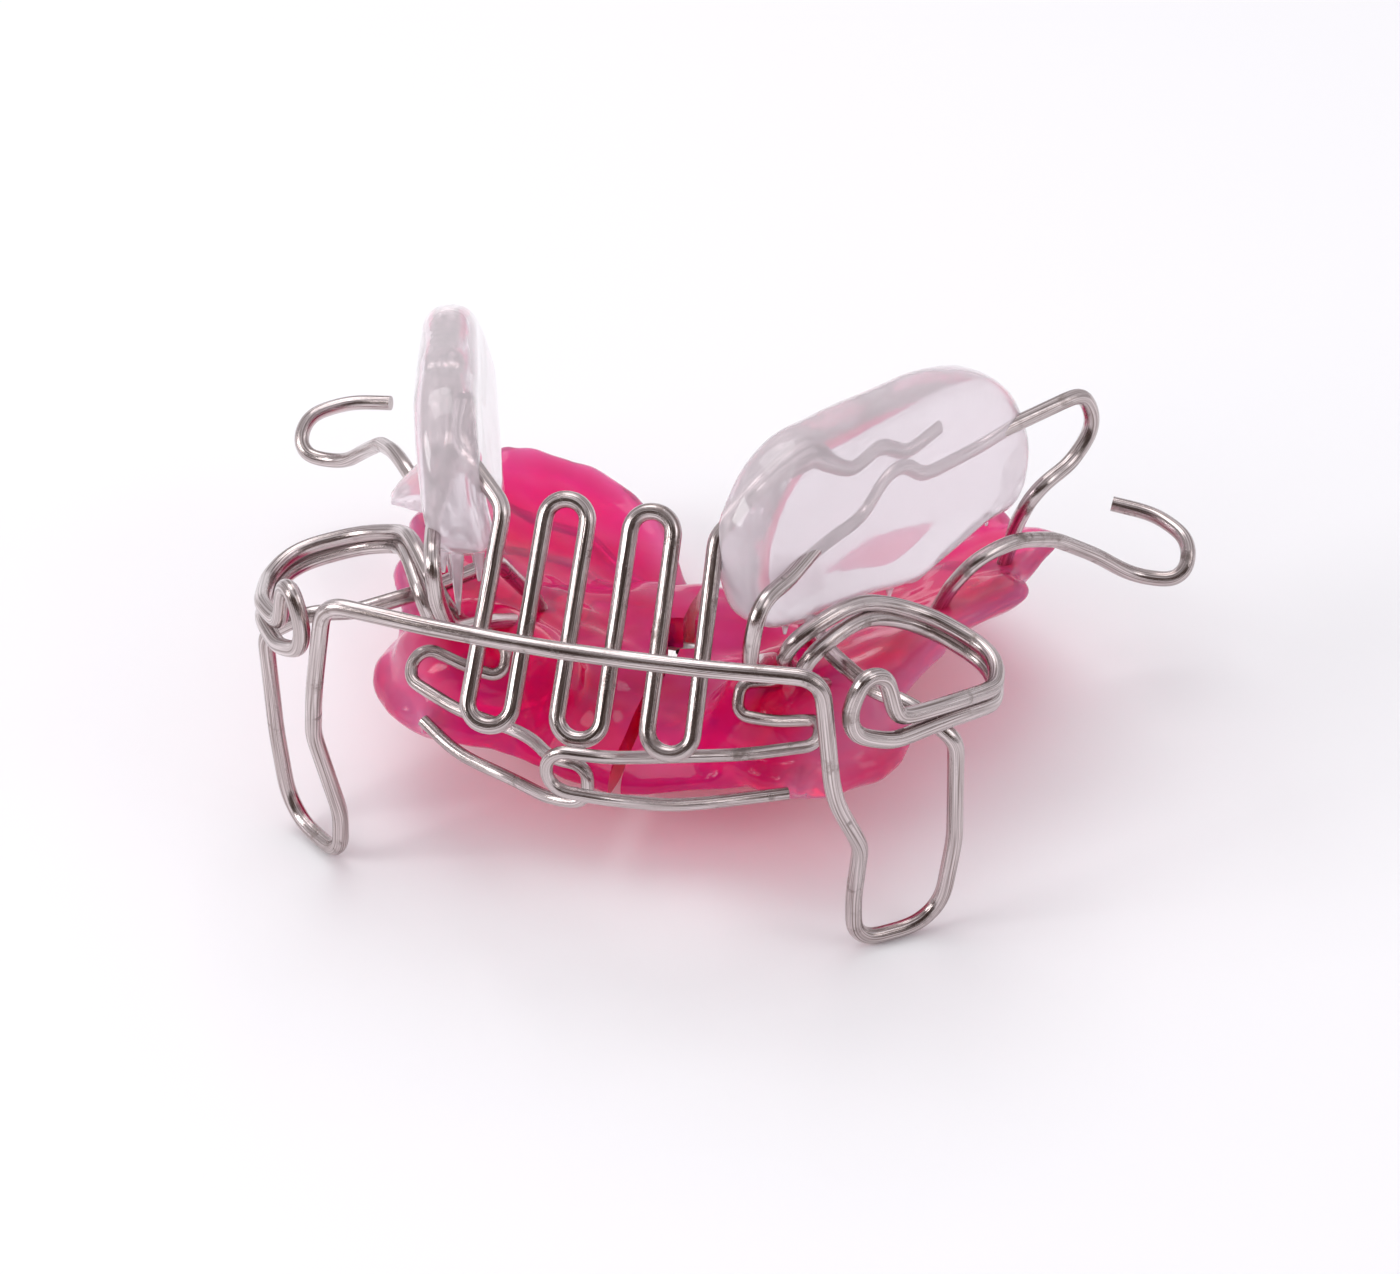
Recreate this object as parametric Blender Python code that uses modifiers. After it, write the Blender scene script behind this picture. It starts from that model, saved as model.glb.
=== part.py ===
"""Removable functional orthodontic appliance, standing on its bow loops and on the heel of its plate.

A palatal plate, sawn in two along the middle, is held together by an expansion screw. Bent steel wires
leave it: a labial bow with two U loops, two buccal loops, two protrusion springs, two molar clasps and
two connecting wires. The connecting wires and the tongue crib carry a pair of side wings.
X points to the right side, Y from the front teeth backwards and Z up. Sizes are in millimetres.
"""
import math

import bmesh
import bpy
from mathutils import Matrix, Vector

for old in list(bpy.data.objects):
    bpy.data.objects.remove(old, do_unlink=True)

MM = 0.001

# Wires and the air round them
BOW_WIRE = 0.9
CRIB_WIRE = 0.9
CONNECTOR_WIRE = 0.9
BUCCAL_WIRE = 0.9
CLASP_WIRE = 0.9
SPRING_WIRE = 0.7
CLEARANCE = 0.3
ARC_STEP = math.radians(38)
WIRE_SIDES_STEP = 2

# Labial bow
BOW_FRONT = -20.48
BOW_HEIGHT = 20.05
BOW_HALF_WIDTH = 13.0
BOW_SWEEP = 1.1
BOW_CORNER_RADIUS = 1.3
U_LOOP_WIDTH = 4.4
U_LOOP_INNER = 14.5
U_LOOP_BEND = 2.4
U_LOOP_FRONT = -15.2
U_LOOP_BACK = -12.0
KNEE_HEIGHT = 12.9
KINK_SHARE_RIGHT = 0.40
KINK_SHARE_LEFT = 0.48
KINK_BEND = 3.0

# Tongue crib
CRIB_PITCH = 2.42
CRIB_TOP_SHARE = 0.94
CRIB_FRONT = -18.2
CRIB_FOOT = 13.1
CRIB_REACH_BACK = 7.0
CRIB_REACH_UP = 10.0

# Protrusion springs
RIGHT_PAST_MIDDLE = 1.3
LEFT_PAST_MIDDLE = 0.5
LEFT_LOWER = 1.7
HAIRPIN_HEIGHT = 2.5
HAIRPIN_GAP = 0.8
SPRING_FRONT = -19.4
SPRING_TOP = 13.1
SPRING_SIDE = 11.3
LEFT_BEND_HIGHER = 0.9

# Buccal loops
BUCCAL_STRAND_DROP = 1.0
BUCCAL_SIDE = 20.2
BUCCAL_PAST_BOW = 1.3
LEFT_CROSSING_IN = 0.35
HOOK_TOP = 20.0

# Molar clasps
CLASP_SIDE = 27.45
CLASP_BACK = 18.8

# Palatal plate
SAW_CUT = 0.7
PLATE_THICKNESS = 2.4
PLATE_FRONT = -11.2
PLATE_HEEL = 11.9
PLATE_BACK = 20.75
FRONT_LIFT = 4.7
HEEL_LIFT = 0.62
VAULT_RISE = 7.8
VAULT_HALF_WIDTH = 20.0
VAULT_POWER = 1.7
MOUND_SIDE = 9.4
MOUND_BACK = -5.9
MOUND_HEIGHT = 8.2
MOUND_WIDTH = 9.2
MOUND_DEPTH = 8.2

# Expansion screw
SCREW_BACK = 3.8
SCREW_HEIGHT = 2.95
SCREW_HALF_LENGTH = 6.3
BODY_WIDTH = 6.4
BODY_HEIGHT = 2.6
BOSS_HALF_LENGTH = 12.0
BOSS_HALF_WIDTH = 8.2
SPINDLE = 1.2
DRUM = 2.4
DRUM_LENGTH = 1.8
KEY_HOLE = 0.7
GUIDE_PIN = 0.8
GUIDE_PIN_SPACING = 4.1
CORE_SHORTER = 0.7
KEY_WINDOW = 3.6

# Side wings
WING_THICKNESS = 3.3
WING_EDGE = 1.3
WING_FRONT = -11.5
WING_NOSE = 1.2
WING_LENGTH = 24.6
WING_FOOT = 12.7
WING_HEIGHT = 13.9
RIGHT_WING_SIDE = 7.2
RIGHT_WING_ANGLE = math.radians(22.8)
RIGHT_LOOP_FLARE = 3.3
LEFT_WING_SIDE = 7.62
LEFT_WING_ANGLE = math.radians(17)
LEFT_WING_LEAN = math.radians(5.5)
LEFT_WING_TALLER = 0.3
LEFT_RISE_CLOSER = 0.4
LEFT_LOOP_FLARE = 0.5
LEFT_LOOP_BACK = 3.4

collection = bpy.data.collections.new("functional_orthodontic_appliance")
cutters = bpy.data.collections.new("cutters")
bpy.context.scene.collection.children.link(collection)
bpy.context.scene.collection.children.link(cutters)


def material(name, colour, roughness, metallic=0.0, alpha=1.0):
    """A Principled material with one plain finish."""
    finish = bpy.data.materials.new(name)
    finish.use_nodes = True
    shader = finish.node_tree.nodes["Principled BSDF"]
    shader.inputs["Base Color"].default_value = (*colour, 1)
    shader.inputs["Roughness"].default_value = roughness
    shader.inputs["Metallic"].default_value = metallic
    shader.inputs["Alpha"].default_value = alpha
    return finish


STEEL = material("spring_hard_steel", (0.62, 0.60, 0.60), 0.18, 1.0)
SCREW_STEEL = material("turned_steel", (0.55, 0.54, 0.55), 0.28, 1.0)
MAGENTA = material("magenta_acrylic", (0.85, 0.03, 0.28), 0.12, 0.0, 0.8)
CLEAR = material("clear_acrylic", (0.88, 0.86, 0.90), 0.14, 0.0, 0.5)


def empty(name, place):
    """A frame on a joint's axis that the pieces of one moving group hang from."""
    frame = bpy.data.objects.new(name, None)
    frame.location = Vector(place) * MM
    collection.objects.link(frame)
    return frame


def finish_object(obj, finish, parent, group=collection):
    """Give an object its material and collection, and hang it from its frame where it lies."""
    for owner in list(obj.users_collection):
        owner.objects.unlink(obj)
    group.objects.link(obj)
    obj.data.materials.clear()
    obj.data.materials.append(finish)
    if parent is not None:
        obj.parent = parent
        obj.matrix_parent_inverse = Matrix.Translation(-parent.location)
    return obj


def as_cutter(obj):
    """Keep a cutter or a joining shape out of sight, in the cutters' collection."""
    for owner in list(obj.users_collection):
        owner.objects.unlink(obj)
    cutters.objects.link(obj)
    obj.hide_render = True
    obj.display_type = "WIRE"
    return obj


def combine(obj, other, operation, solver="EXACT"):
    """Add one Boolean step."""
    step = obj.modifiers.new(operation.lower() + "_" + other.name, "BOOLEAN")
    step.object = other
    step.operation = operation
    step.solver = solver


def bend(corners):
    """Turn corners (x, y, z, bend radius) into points on straight runs joined by arcs."""
    spots = [Vector(c[:3]) for c in corners]
    path = [spots[0]]
    for before, here, after, radius in zip(spots, spots[1:], spots[2:], [c[3] for c in corners[1:]]):
        inward = (before - here).normalized()
        outward = (after - here).normalized()
        turn = math.pi - inward.angle(outward)
        if turn < 0.03:
            path.append(here)
            continue
        room = 0.48 * min((before - here).length, (after - here).length)
        reach = min(radius * math.tan(turn / 2), room)
        true_radius = reach / math.tan(turn / 2)
        middle = here + (inward + outward).normalized() * (true_radius / math.cos(turn / 2))
        start = here + inward * reach - middle
        end = here + outward * reach - middle
        steps = max(1, math.ceil(turn / ARC_STEP))
        for k in range(steps + 1):
            part = k / steps
            weight_a = math.sin((1 - part) * turn) / math.sin(turn)
            weight_b = math.sin(part * turn) / math.sin(turn)
            path.append(middle + start * weight_a + end * weight_b)
    path.append(spots[-1])
    return path


def wire_curve(name, corners, diameter):
    """A round wire as a curve along its bent path."""
    path = bend(corners)
    curve = bpy.data.curves.new(name, "CURVE")
    curve.dimensions = "3D"
    curve.bevel_depth = diameter / 2 * MM
    curve.bevel_resolution = WIRE_SIDES_STEP
    curve.use_fill_caps = True
    spline = curve.splines.new("POLY")
    spline.points.add(len(path) - 1)
    for point, spot in zip(spline.points, path):
        point.co = (*(spot * MM), 1)
    obj = bpy.data.objects.new(name, curve)
    collection.objects.link(obj)
    return obj


def as_mesh(obj):
    """Replace a curve object by its mesh, with the caps welded on."""
    bpy.context.view_layer.update()
    graph = bpy.context.evaluated_depsgraph_get()
    mesh = bpy.data.meshes.new_from_object(obj.evaluated_get(graph))
    cage = bmesh.new()
    cage.from_mesh(mesh)
    bmesh.ops.remove_doubles(cage, verts=cage.verts, dist=0.00001)
    bmesh.ops.recalc_face_normals(cage, faces=cage.faces)
    if cage.calc_volume(signed=True) < 0:
        bmesh.ops.reverse_faces(cage, faces=cage.faces)
    cage.to_mesh(mesh)
    cage.free()
    name = obj.name
    place = obj.matrix_world.copy()
    bpy.data.objects.remove(obj, do_unlink=True)
    made = bpy.data.objects.new(name, mesh)
    made.matrix_world = place
    collection.objects.link(made)
    return made


def wire(name, corners, diameter, parent):
    """A finished steel wire, shaded smooth."""
    obj = as_mesh(wire_curve(name, corners, diameter))
    obj.data.shade_smooth()
    obj.data.set_sharp_from_angle(angle=math.radians(50))
    return finish_object(obj, STEEL, parent)


def tunnel(name, corners, diameter):
    """A cutter along the buried end of a wire, wider and longer than the wire by the clearance."""
    ends = []
    for end, inner in ((corners[0], corners[1]), (corners[-1], corners[-2])):
        outward = (Vector(end[:3]) - Vector(inner[:3])).normalized() * CLEARANCE
        ends.append((*(Vector(end[:3]) + outward), end[3]))
    corners = [ends[0]] + corners[1:-1] + [ends[1]]
    return as_cutter(as_mesh(wire_curve(name, corners, diameter + 2 * CLEARANCE)))


def side(corners, sign):
    """Corners of a right-hand route, mirrored for the left hand where sign is -1."""
    return [(sign * x, y, z, r) for x, y, z, r in corners]


WING_BACK = WING_FRONT - WING_NOSE + WING_LENGTH


# The vault: the middle of the plate's thickness over any place in plan
def vault(x, y):
    drop = min(max((y + 2.0) / (PLATE_HEEL + 1.1 + 2.0), 0), 1)
    drop = drop * drop * (3 - 2 * drop)
    spine = FRONT_LIFT + (HEEL_LIFT - FRONT_LIFT) * drop
    return spine + VAULT_RISE * (abs(x) / VAULT_HALF_WIDTH) ** VAULT_POWER


def in_plate(x, y, radius):
    """A corner of a wire's tag, half way through the plate."""
    return (x, y, vault(x, y), radius)


def wing_line(sign):
    """How far a wing's middle plane lies out from the midline at its front, and its angle."""
    return (RIGHT_WING_SIDE, RIGHT_WING_ANGLE) if sign > 0 else (LEFT_WING_SIDE, LEFT_WING_ANGLE)


def wing_lean(sign):
    """How far a wing leans out towards the cheek for each millimetre of height."""
    return 0.0 if sign > 0 else math.tan(LEFT_WING_LEAN)


def in_wing(sign, y, z, off, radius):
    """A corner of a wire inside a wing, set off from the wing's middle towards the cheek."""
    out, angle = wing_line(sign)
    middle = out + math.tan(angle) * (y - WING_FRONT) + wing_lean(sign) * (z - WING_FOOT)
    return (middle + off / math.cos(angle), y, z, radius)


# Routes of the wires, right side, from front or free end to the tag
def bow_half(sign):
    """The labial bow from beside the midline, round the U loop, to its tag in the plate."""
    kink_share = KINK_SHARE_RIGHT if sign > 0 else KINK_SHARE_LEFT
    foot = BOW_WIRE / 2
    kink = foot + (BOW_HEIGHT - foot) * kink_share
    outer = U_LOOP_INNER + U_LOOP_WIDTH
    knee = BUCCAL_SIDE - BUCCAL_PAST_BOW
    return side([
        (BOW_HALF_WIDTH * 0.55, BOW_FRONT + BOW_SWEEP * 0.35, BOW_HEIGHT, 30),
        (BOW_HALF_WIDTH, BOW_FRONT + BOW_SWEEP, BOW_HEIGHT, BOW_CORNER_RADIUS),
        (BOW_HALF_WIDTH + 0.8, BOW_FRONT + BOW_SWEEP, kink + 4.6, 6),
        (U_LOOP_INNER + 0.4, U_LOOP_FRONT - 1.8, kink, KINK_BEND),
        (U_LOOP_INNER - 0.2, U_LOOP_FRONT, foot + 3.0, KINK_BEND),
        (U_LOOP_INNER - 0.1, U_LOOP_FRONT, foot, U_LOOP_BEND),
        (outer - 0.5, U_LOOP_BACK - 0.1, foot, U_LOOP_BEND),
        (outer + 0.1, U_LOOP_BACK, foot + 5.5, 7),
        (knee, U_LOOP_BACK - 0.9, KNEE_HEIGHT, 1.2),
        (knee - 2.5, U_LOOP_BACK - 0.7, KNEE_HEIGHT + 1.7, 2.5),
        (outer - 4.7, U_LOOP_BACK + 0.3, KNEE_HEIGHT + 1.5, 2),
        (outer - 7.7, U_LOOP_BACK + 3.2, KNEE_HEIGHT + 1.5, 3),
        (outer - 10.2, U_LOOP_BACK + 8.4, KNEE_HEIGHT + 0.6, 1.3),
        (outer - 10.9, SCREW_BACK - 2.8, vault(8, 1) + 2.4, 2.0),
    ], sign)


def bow_tag(sign):
    """The buried end of the labial bow, beside the screw."""
    start = SCREW_HALF_LENGTH + 2 * CLEARANCE + BOW_WIRE
    return side([
        in_plate(start + 0.3, SCREW_BACK - 0.3, 1.2),
        in_plate(start + 1.2, SCREW_BACK + 2.0, 1.2),
        in_plate(start + 0.3, SCREW_BACK + 4.3, 1.2),
    ], sign)


def bow_route():
    left = bow_half(-1) + bow_tag(-1)
    right = bow_half(1) + bow_tag(1)
    return list(reversed(left)) + [(0, BOW_FRONT, BOW_HEIGHT, 60)] + right


def crib_route():
    """One zigzag of five bends across the midline, with both ends waved inside the wings."""
    half = CRIB_PITCH / 2
    slope = Vector((0, CRIB_REACH_BACK, CRIB_REACH_UP))
    low = Vector((0, CRIB_FRONT, CRIB_FOOT))
    corners = []
    for x, high in ((half, False), (half, True), (3 * half, True), (3 * half, False), (5 * half, False)):
        spot = low + slope * (1 if high else 0)
        narrow = CRIB_TOP_SHARE if high else 1
        corners.append((x * narrow, spot.y, spot.z, half * narrow * 0.97))
    into = low + slope * 0.93
    corners.append((5 * half * CRIB_TOP_SHARE, into.y, into.z, 1.4))
    right = side(corners, 1) + wing_tag(1)
    left = side(corners, -1) + wing_tag(-1)
    return list(reversed(left)) + right


def wing_tag(sign):
    """The waved end of the crib inside a wing."""
    off = -(CRIB_WIRE + CLEARANCE) / 2
    return side([
        in_wing(sign, -9.4, 24.3, off, 1.6),
        in_wing(sign, -6.2, 24.6, off, 1.6),
        in_wing(sign, -3.0, 22.4, off, 2.2),
        in_wing(sign, -0.6, 22.7, off, 2.2),
        in_wing(sign, 1.8, 21.0, off, 2.2),
        in_wing(sign, 4.6, 21.2, off, 1.2),
    ], sign)


def connector_front_tag(sign):
    return side([(7.4, -5.2, 10.8, 1.2), (7.5, -9.0, 13.2, 1.4)], sign)


def connector_rise(sign):
    """From the plate up in front of the wing."""
    out = wing_line(sign)[0] - (0 if sign > 0 else LEFT_RISE_CLOSER)
    return side([
        (8.1, -13.8, 15.6, 2.6),
        (8.4, -15.2, 18.4, 2.6),
        (out + 1.5, -14.7, 20.8, 2.0),
        (out + 2.3, -11.8, 20.5, 3),
    ], sign)


def connector_in_wing(sign):
    off = (CONNECTOR_WIRE + CLEARANCE) / 2
    return side([
        in_wing(sign, -6.4, 19.9, off + 0.2, 3),
        in_wing(sign, -3.2, 19.7, off, 2.2),
        in_wing(sign, -1.6, 21.3, off, 2.2),
        in_wing(sign, 0.2, 21.2, off, 2.2),
        in_wing(sign, 1.9, 19.5, off, 2.2),
        in_wing(sign, 7.0, 18.7, off, 3),
    ], sign)


def connector_loop(sign):
    """The open loop behind the wing, and the way down to the plate."""
    flare = RIGHT_LOOP_FLARE if sign > 0 else LEFT_LOOP_FLARE
    back = 0 if sign > 0 else LEFT_LOOP_BACK
    return side([
        in_wing(sign, WING_BACK + 1.3, 19.4, flare * 0.92, 1.2),
        in_wing(sign, WING_BACK + 2.1, 17.0, flare * 1.06, 2.0),
        in_wing(sign, WING_BACK + 0.3 + 0.4 * back, 15.2, flare * 0.95, 2.0),
        in_wing(sign, WING_BACK - 2.3 + back, 14.8, flare * 0.84, 2.0),
        in_wing(sign, WING_BACK - 1.5 + 0.9 * back, 11.9, flare * 0.45, 2.0),
    ], sign)


def connector_back_tag(sign):
    back = WING_BACK + (0.5 if sign > 0 else 0.5 + 0.4 * LEFT_LOOP_BACK)
    reach = in_wing(sign, back, WING_FOOT, 0, 0)[0]
    return side([
        in_plate(reach - 0.3, back, 1.6),
        in_plate(reach - 4.0, 14.6, 2.0),
        in_plate(9.4, 15.6, 2.0),
        in_plate(6.2, 13.6, 1.6),
        in_plate(4.0, 13.0, 1.0),
    ], sign)


def connector_route(sign):
    return (connector_front_tag(sign) + connector_rise(sign) + connector_in_wing(sign)
            + connector_loop(sign) + connector_back_tag(sign))


def buccal_strand(sign, drop):
    """The round of the buccal loop, from the crossing over the teeth to the hook."""
    crossing = 12.3 if sign > 0 else 12.3 - LEFT_CROSSING_IN
    return [
        (crossing + 0.8 * drop, -8.4 + 0.3 * drop, 17.5 - drop, 2.2),
        (crossing + 1.6 + 0.4 * drop, -5.8 + 0.3 * drop, 16.0 - drop, 2.2),
        (16.2, -4.9 + 0.2 * drop, 14.9 - drop, 2.2),
        (BUCCAL_SIDE - 0.4, -6.0, 13.9 - drop, 2.2),
        (BUCCAL_SIDE, -8.8, 13.7 - drop, 1.8),
        (BUCCAL_SIDE - 2.0, -15.0, 16.3 - drop, 5),
        (BUCCAL_SIDE - 3.8, -16.9 - 0.5 * drop, 16.5 - drop, 1.0),
    ]


def buccal_tag_upper(sign):
    return side([(9.7, -5.4, 10.0, 1.2), (9.4, -8.8, 12.9, 1.2)], sign)


def buccal_tag_lower(sign):
    return side([(11.3, -8.6, 12.2, 1.2), (11.6, -5.0, 9.9, 1.2)], sign)


def buccal_route(sign):
    """One wire folded double: up strand, hook at the front, down strand."""
    hook = [
        (BUCCAL_SIDE - 4.3, -17.4, HOOK_TOP - 0.6, 1.0),
        (BUCCAL_SIDE - 5.2, -18.5, HOOK_TOP, 1.2),
        (BUCCAL_SIDE - 5.9, -19.0, HOOK_TOP - 2.1, 1.4),
        (BUCCAL_SIDE - 5.6, -18.9, HOOK_TOP - 3.5, 1.2),
    ]
    first = [(9.0, -12.4, 16.3, 1.8)] + buccal_strand(sign, 0)
    second = list(reversed(buccal_strand(sign, BUCCAL_STRAND_DROP))) + [(10.6, -12.1, 15.4, 1.8)]
    return (buccal_tag_upper(sign) + side(first, sign) + side(hook, sign) + side(second, sign)
            + buccal_tag_lower(sign))


def spring_tag(sign):
    return side([(8.9, -5.0, 9.0, 1.2), (8.2, -8.1, 11.5, 1.0)], sign)


def spring_route(sign):
    """A spring with a small U, an outer bend and a hairpin that reaches past the midline."""
    behind = (SPRING_WIRE + HAIRPIN_GAP) if sign < 0 else 0
    lower = LEFT_LOWER if sign < 0 else 0
    past = -LEFT_PAST_MIDDLE if sign < 0 else -RIGHT_PAST_MIDDLE
    front = SPRING_FRONT + behind
    top = SPRING_TOP - lower
    low = top - HAIRPIN_HEIGHT
    higher = LEFT_BEND_HIGHER if sign < 0 else 0
    return spring_tag(sign) + side([
        (6.5, -9.0, 11.7, 0.7),
        (6.5, -9.9, 10.2, 0.7),
        (8.7, -10.1, 10.3 + 0.6 * higher, 3),
        (SPRING_SIDE - 0.6 * higher, -10.7, 11.3 + higher, 1.1),
        (SPRING_SIDE + 0.1, -11.9, 10.5 + 0.3 * higher, 1.1),
        (7.8, -13.9, SPRING_TOP - 2.5, 10),
        (3.4, front + 2.5, SPRING_TOP - 1.4 - 0.5 * lower, 6),
        (1.5, front + 0.1, top - 0.1, 3),
        (past, front, top, HAIRPIN_HEIGHT / 2),
        (past, front, low, HAIRPIN_HEIGHT / 2),
        (1.5, front + 0.1, low - 0.2, 4),
        (4.8, front + 2.8, low - 2.0 + 0.9 * lower, 12),
        (7.8, -14.3, SPRING_TOP - 5.1, 10),
        (10.1, -13.0, SPRING_TOP - 5.2, 1),
    ], sign)


def clasp_arm(sign):
    """The free arm that grips the last molar, and the way in over the plate's margin."""
    return side([
        (CLASP_SIDE - 5.0, CLASP_BACK, 8.9, 1),
        (CLASP_SIDE - 2.4, CLASP_BACK, 8.6, 2.5),
        (CLASP_SIDE, CLASP_BACK - 1.7, 8.2, 1.8),
        (CLASP_SIDE, CLASP_BACK - 3.4, 6.4, 1.4),
        (CLASP_SIDE - 2.9, CLASP_BACK - 3.4, 6.2, 2.5),
        (CLASP_SIDE - 5.1, CLASP_BACK - 5.4, 8.6, 4),
        (20.2, 10.4, 11.2, 5),
        (18.3, 7.6, 12.5, 3),
        (16.5, 5.4, 12.2, 1.6),
        (15.2, 5.3, 10.2, 1.4),
    ], sign)


def clasp_tag(sign):
    return side([
        in_plate(13.8, 6.7, 1.6),
        in_plate(12.2, 9.6, 2),
        in_plate(9.0, 12.0, 2),
        in_plate(5.6, 10.4, 1),
    ], sign)


# Frames of the moving groups
half_frame = empty("right_half_frame", (0, SCREW_BACK, SCREW_HEIGHT))
core_frame = empty("screw_core_frame", (0, SCREW_BACK, SCREW_HEIGHT))
GROUPS = ((1, "right", half_frame), (-1, "left", None))


# The plate's outline, right side: front edge, margin round the teeth and rear edge
def smooth_through(spots, count):
    """Points on an even curve through the spots, close to them, as round stretches of an outline."""
    dense = []
    for k in range(len(spots) - 1):
        before = Vector(spots[max(k - 1, 0)])
        start = Vector(spots[k])
        end = Vector(spots[k + 1])
        after = Vector(spots[min(k + 2, len(spots) - 1)])
        for step in range(8):
            t = step / 8
            first = 2 * start + (end - before) * t
            second = (2 * before - 5 * start + 4 * end - after) * t * t
            third = (3 * start - before - 3 * end + after) * t * t * t
            dense.append((first + second + third) / 2)
    dense.append(Vector(spots[-1]))
    lengths = [0.0]
    for a, b in zip(dense, dense[1:]):
        lengths.append(lengths[-1] + (b - a).length)
    result = []
    for share in count:
        goal = share * lengths[-1]
        k = min(max(i for i, run in enumerate(lengths) if run <= goal + 1e-9), len(dense) - 2)
        t = (goal - lengths[k]) / (lengths[k + 1] - lengths[k])
        result.append(dense[k].lerp(dense[k + 1], t))
    return result


def spaced(count):
    """Shares from 0 to 1 that close up near both ends, for a rounded rim."""
    inner = [0.035 + 0.93 * k / (count - 2) for k in range(count - 1)]
    return [0.0] + inner + [1.0]


def plate_shell(name, sign):
    """Half of the plate: a patch between four edges, raised over the vault and thickened both ways."""
    cut = SAW_CUT / 2
    across = [0.0] + spaced(13)[2:]
    along = spaced(19)
    front = smooth_through([(cut, PLATE_FRONT), (5.5, PLATE_FRONT + 0.9), (8.6, PLATE_FRONT + 0.9),
                            (10.5, PLATE_FRONT - 1.0)], across)
    margin = smooth_through([(10.5, PLATE_FRONT - 1.0), (11.6, -9.8), (13.0, -7.6), (14.7, -3.2), (15.9, 0.2),
                             (15.6, 3.2), (17.0, 5.2), (19.4, 7.0), (18.6, 9.6), (18.9, 12.0), (20.3, 14.3)], along)
    rear = smooth_through([(cut, PLATE_HEEL), (3.2, PLATE_HEEL + 2.8), (6.2, PLATE_BACK - 1.6), (9.6, PLATE_BACK),
                           (13.0, PLATE_BACK - 0.8), (16.8, PLATE_BACK - 3.4), (20.3, 14.3)], across)
    saw = [Vector((cut, PLATE_FRONT + (PLATE_HEEL - PLATE_FRONT) * v)) for v in along]
    cage = bmesh.new()
    weight = cage.verts.layers.deform.verify()
    grid = []
    for j, v in enumerate(along):
        row = []
        for i, u in enumerate(across):
            edges = front[i] * (1 - v) + rear[i] * v + saw[j] * (1 - u) + margin[j] * u
            corners = (front[0] * (1 - u) + front[-1] * u) * (1 - v) + (rear[0] * (1 - u) + rear[-1] * u) * v
            spot = edges - corners
            vert = cage.verts.new((sign * spot.x * MM, spot.y * MM, vault(spot.x, spot.y) * MM))
            rim = min(j, len(along) - 1 - j, len(across) - 1 - i)
            vert[weight][0] = (0.3, 0.8, 1.0)[min(rim, 2)]
            row.append(vert)
        grid.append(row)
    for low, high in zip(grid, grid[1:]):
        for k in range(len(low) - 1):
            ring = [low[k], low[k + 1], high[k + 1], high[k]]
            cage.faces.new(ring if sign > 0 else list(reversed(ring)))
    mesh = bpy.data.meshes.new(name)
    cage.to_mesh(mesh)
    cage.free()
    obj = bpy.data.objects.new(name, mesh)
    obj.vertex_groups.new(name="fullness")
    wall = obj.modifiers.new("thickness", "SOLIDIFY")
    wall.thickness = PLATE_THICKNESS * MM
    wall.offset = 0
    wall.vertex_group = "fullness"
    return obj


def ball(name, place, radii):
    """A swelling of the acrylic, as a stretched ball."""
    cage = bmesh.new()
    bmesh.ops.create_uvsphere(cage, u_segments=16, v_segments=8, radius=1)
    bmesh.ops.scale(cage, verts=cage.verts, vec=Vector(radii) * MM)
    bmesh.ops.translate(cage, verts=cage.verts, vec=Vector(place) * MM)
    mesh = bpy.data.meshes.new(name)
    cage.to_mesh(mesh)
    cage.free()
    return as_cutter(bpy.data.objects.new(name, mesh))


def block(name, low, high, round_off=0.0):
    """A box between two corners, with its edges rounded if asked."""
    low, high = Vector(low), Vector(high)
    size = Vector([abs(v) for v in high - low])
    cage = bmesh.new()
    bmesh.ops.create_cube(cage, size=1)
    bmesh.ops.scale(cage, verts=cage.verts, vec=size * MM)
    bmesh.ops.translate(cage, verts=cage.verts, vec=(low + high) / 2 * MM)
    mesh = bpy.data.meshes.new(name)
    cage.to_mesh(mesh)
    cage.free()
    obj = bpy.data.objects.new(name, mesh)
    if round_off:
        edge = obj.modifiers.new("rounded", "BEVEL")
        edge.width = round_off * MM
        edge.segments = 2
    return obj


def rod(name, diameter, length, place, axis):
    """A cylinder along one axis."""
    cage = bmesh.new()
    bmesh.ops.create_cone(cage, cap_ends=True, segments=16, radius1=diameter / 2 * MM,
                          radius2=diameter / 2 * MM, depth=length * MM)
    turn = Vector((0, 0, 1)).rotation_difference(Vector(axis)).to_matrix()
    bmesh.ops.rotate(cage, verts=cage.verts, cent=(0, 0, 0), matrix=turn)
    bmesh.ops.translate(cage, verts=cage.verts, vec=Vector(place) * MM)
    mesh = bpy.data.meshes.new(name)
    cage.to_mesh(mesh)
    cage.free()
    return bpy.data.objects.new(name, mesh)


# Shapes that both halves of the plate share
beyond = 2 * PLATE_BACK
boss = ball("screw_boss", (0, SCREW_BACK, SCREW_HEIGHT), (BOSS_HALF_LENGTH, BOSS_HALF_WIDTH, BODY_HEIGHT))
window = as_cutter(rod("key_window", KEY_WINDOW, beyond, (0, SCREW_BACK, SCREW_HEIGHT), (0, 0, 1)))
pocket_far = SCREW_HALF_LENGTH + CLEARANCE
pocket_side = BODY_WIDTH / 2 + CLEARANCE
pocket_deep = BODY_HEIGHT / 2 + CLEARANCE
pocket = as_cutter(block("screw_pocket", (-pocket_far, SCREW_BACK - pocket_side, SCREW_HEIGHT - pocket_deep),
                         (pocket_far, SCREW_BACK + pocket_side, SCREW_HEIGHT + pocket_deep)))
floor_trim = as_cutter(block("heel_flat", (-beyond, -beyond, -beyond), (beyond, beyond, 0)))

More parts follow.
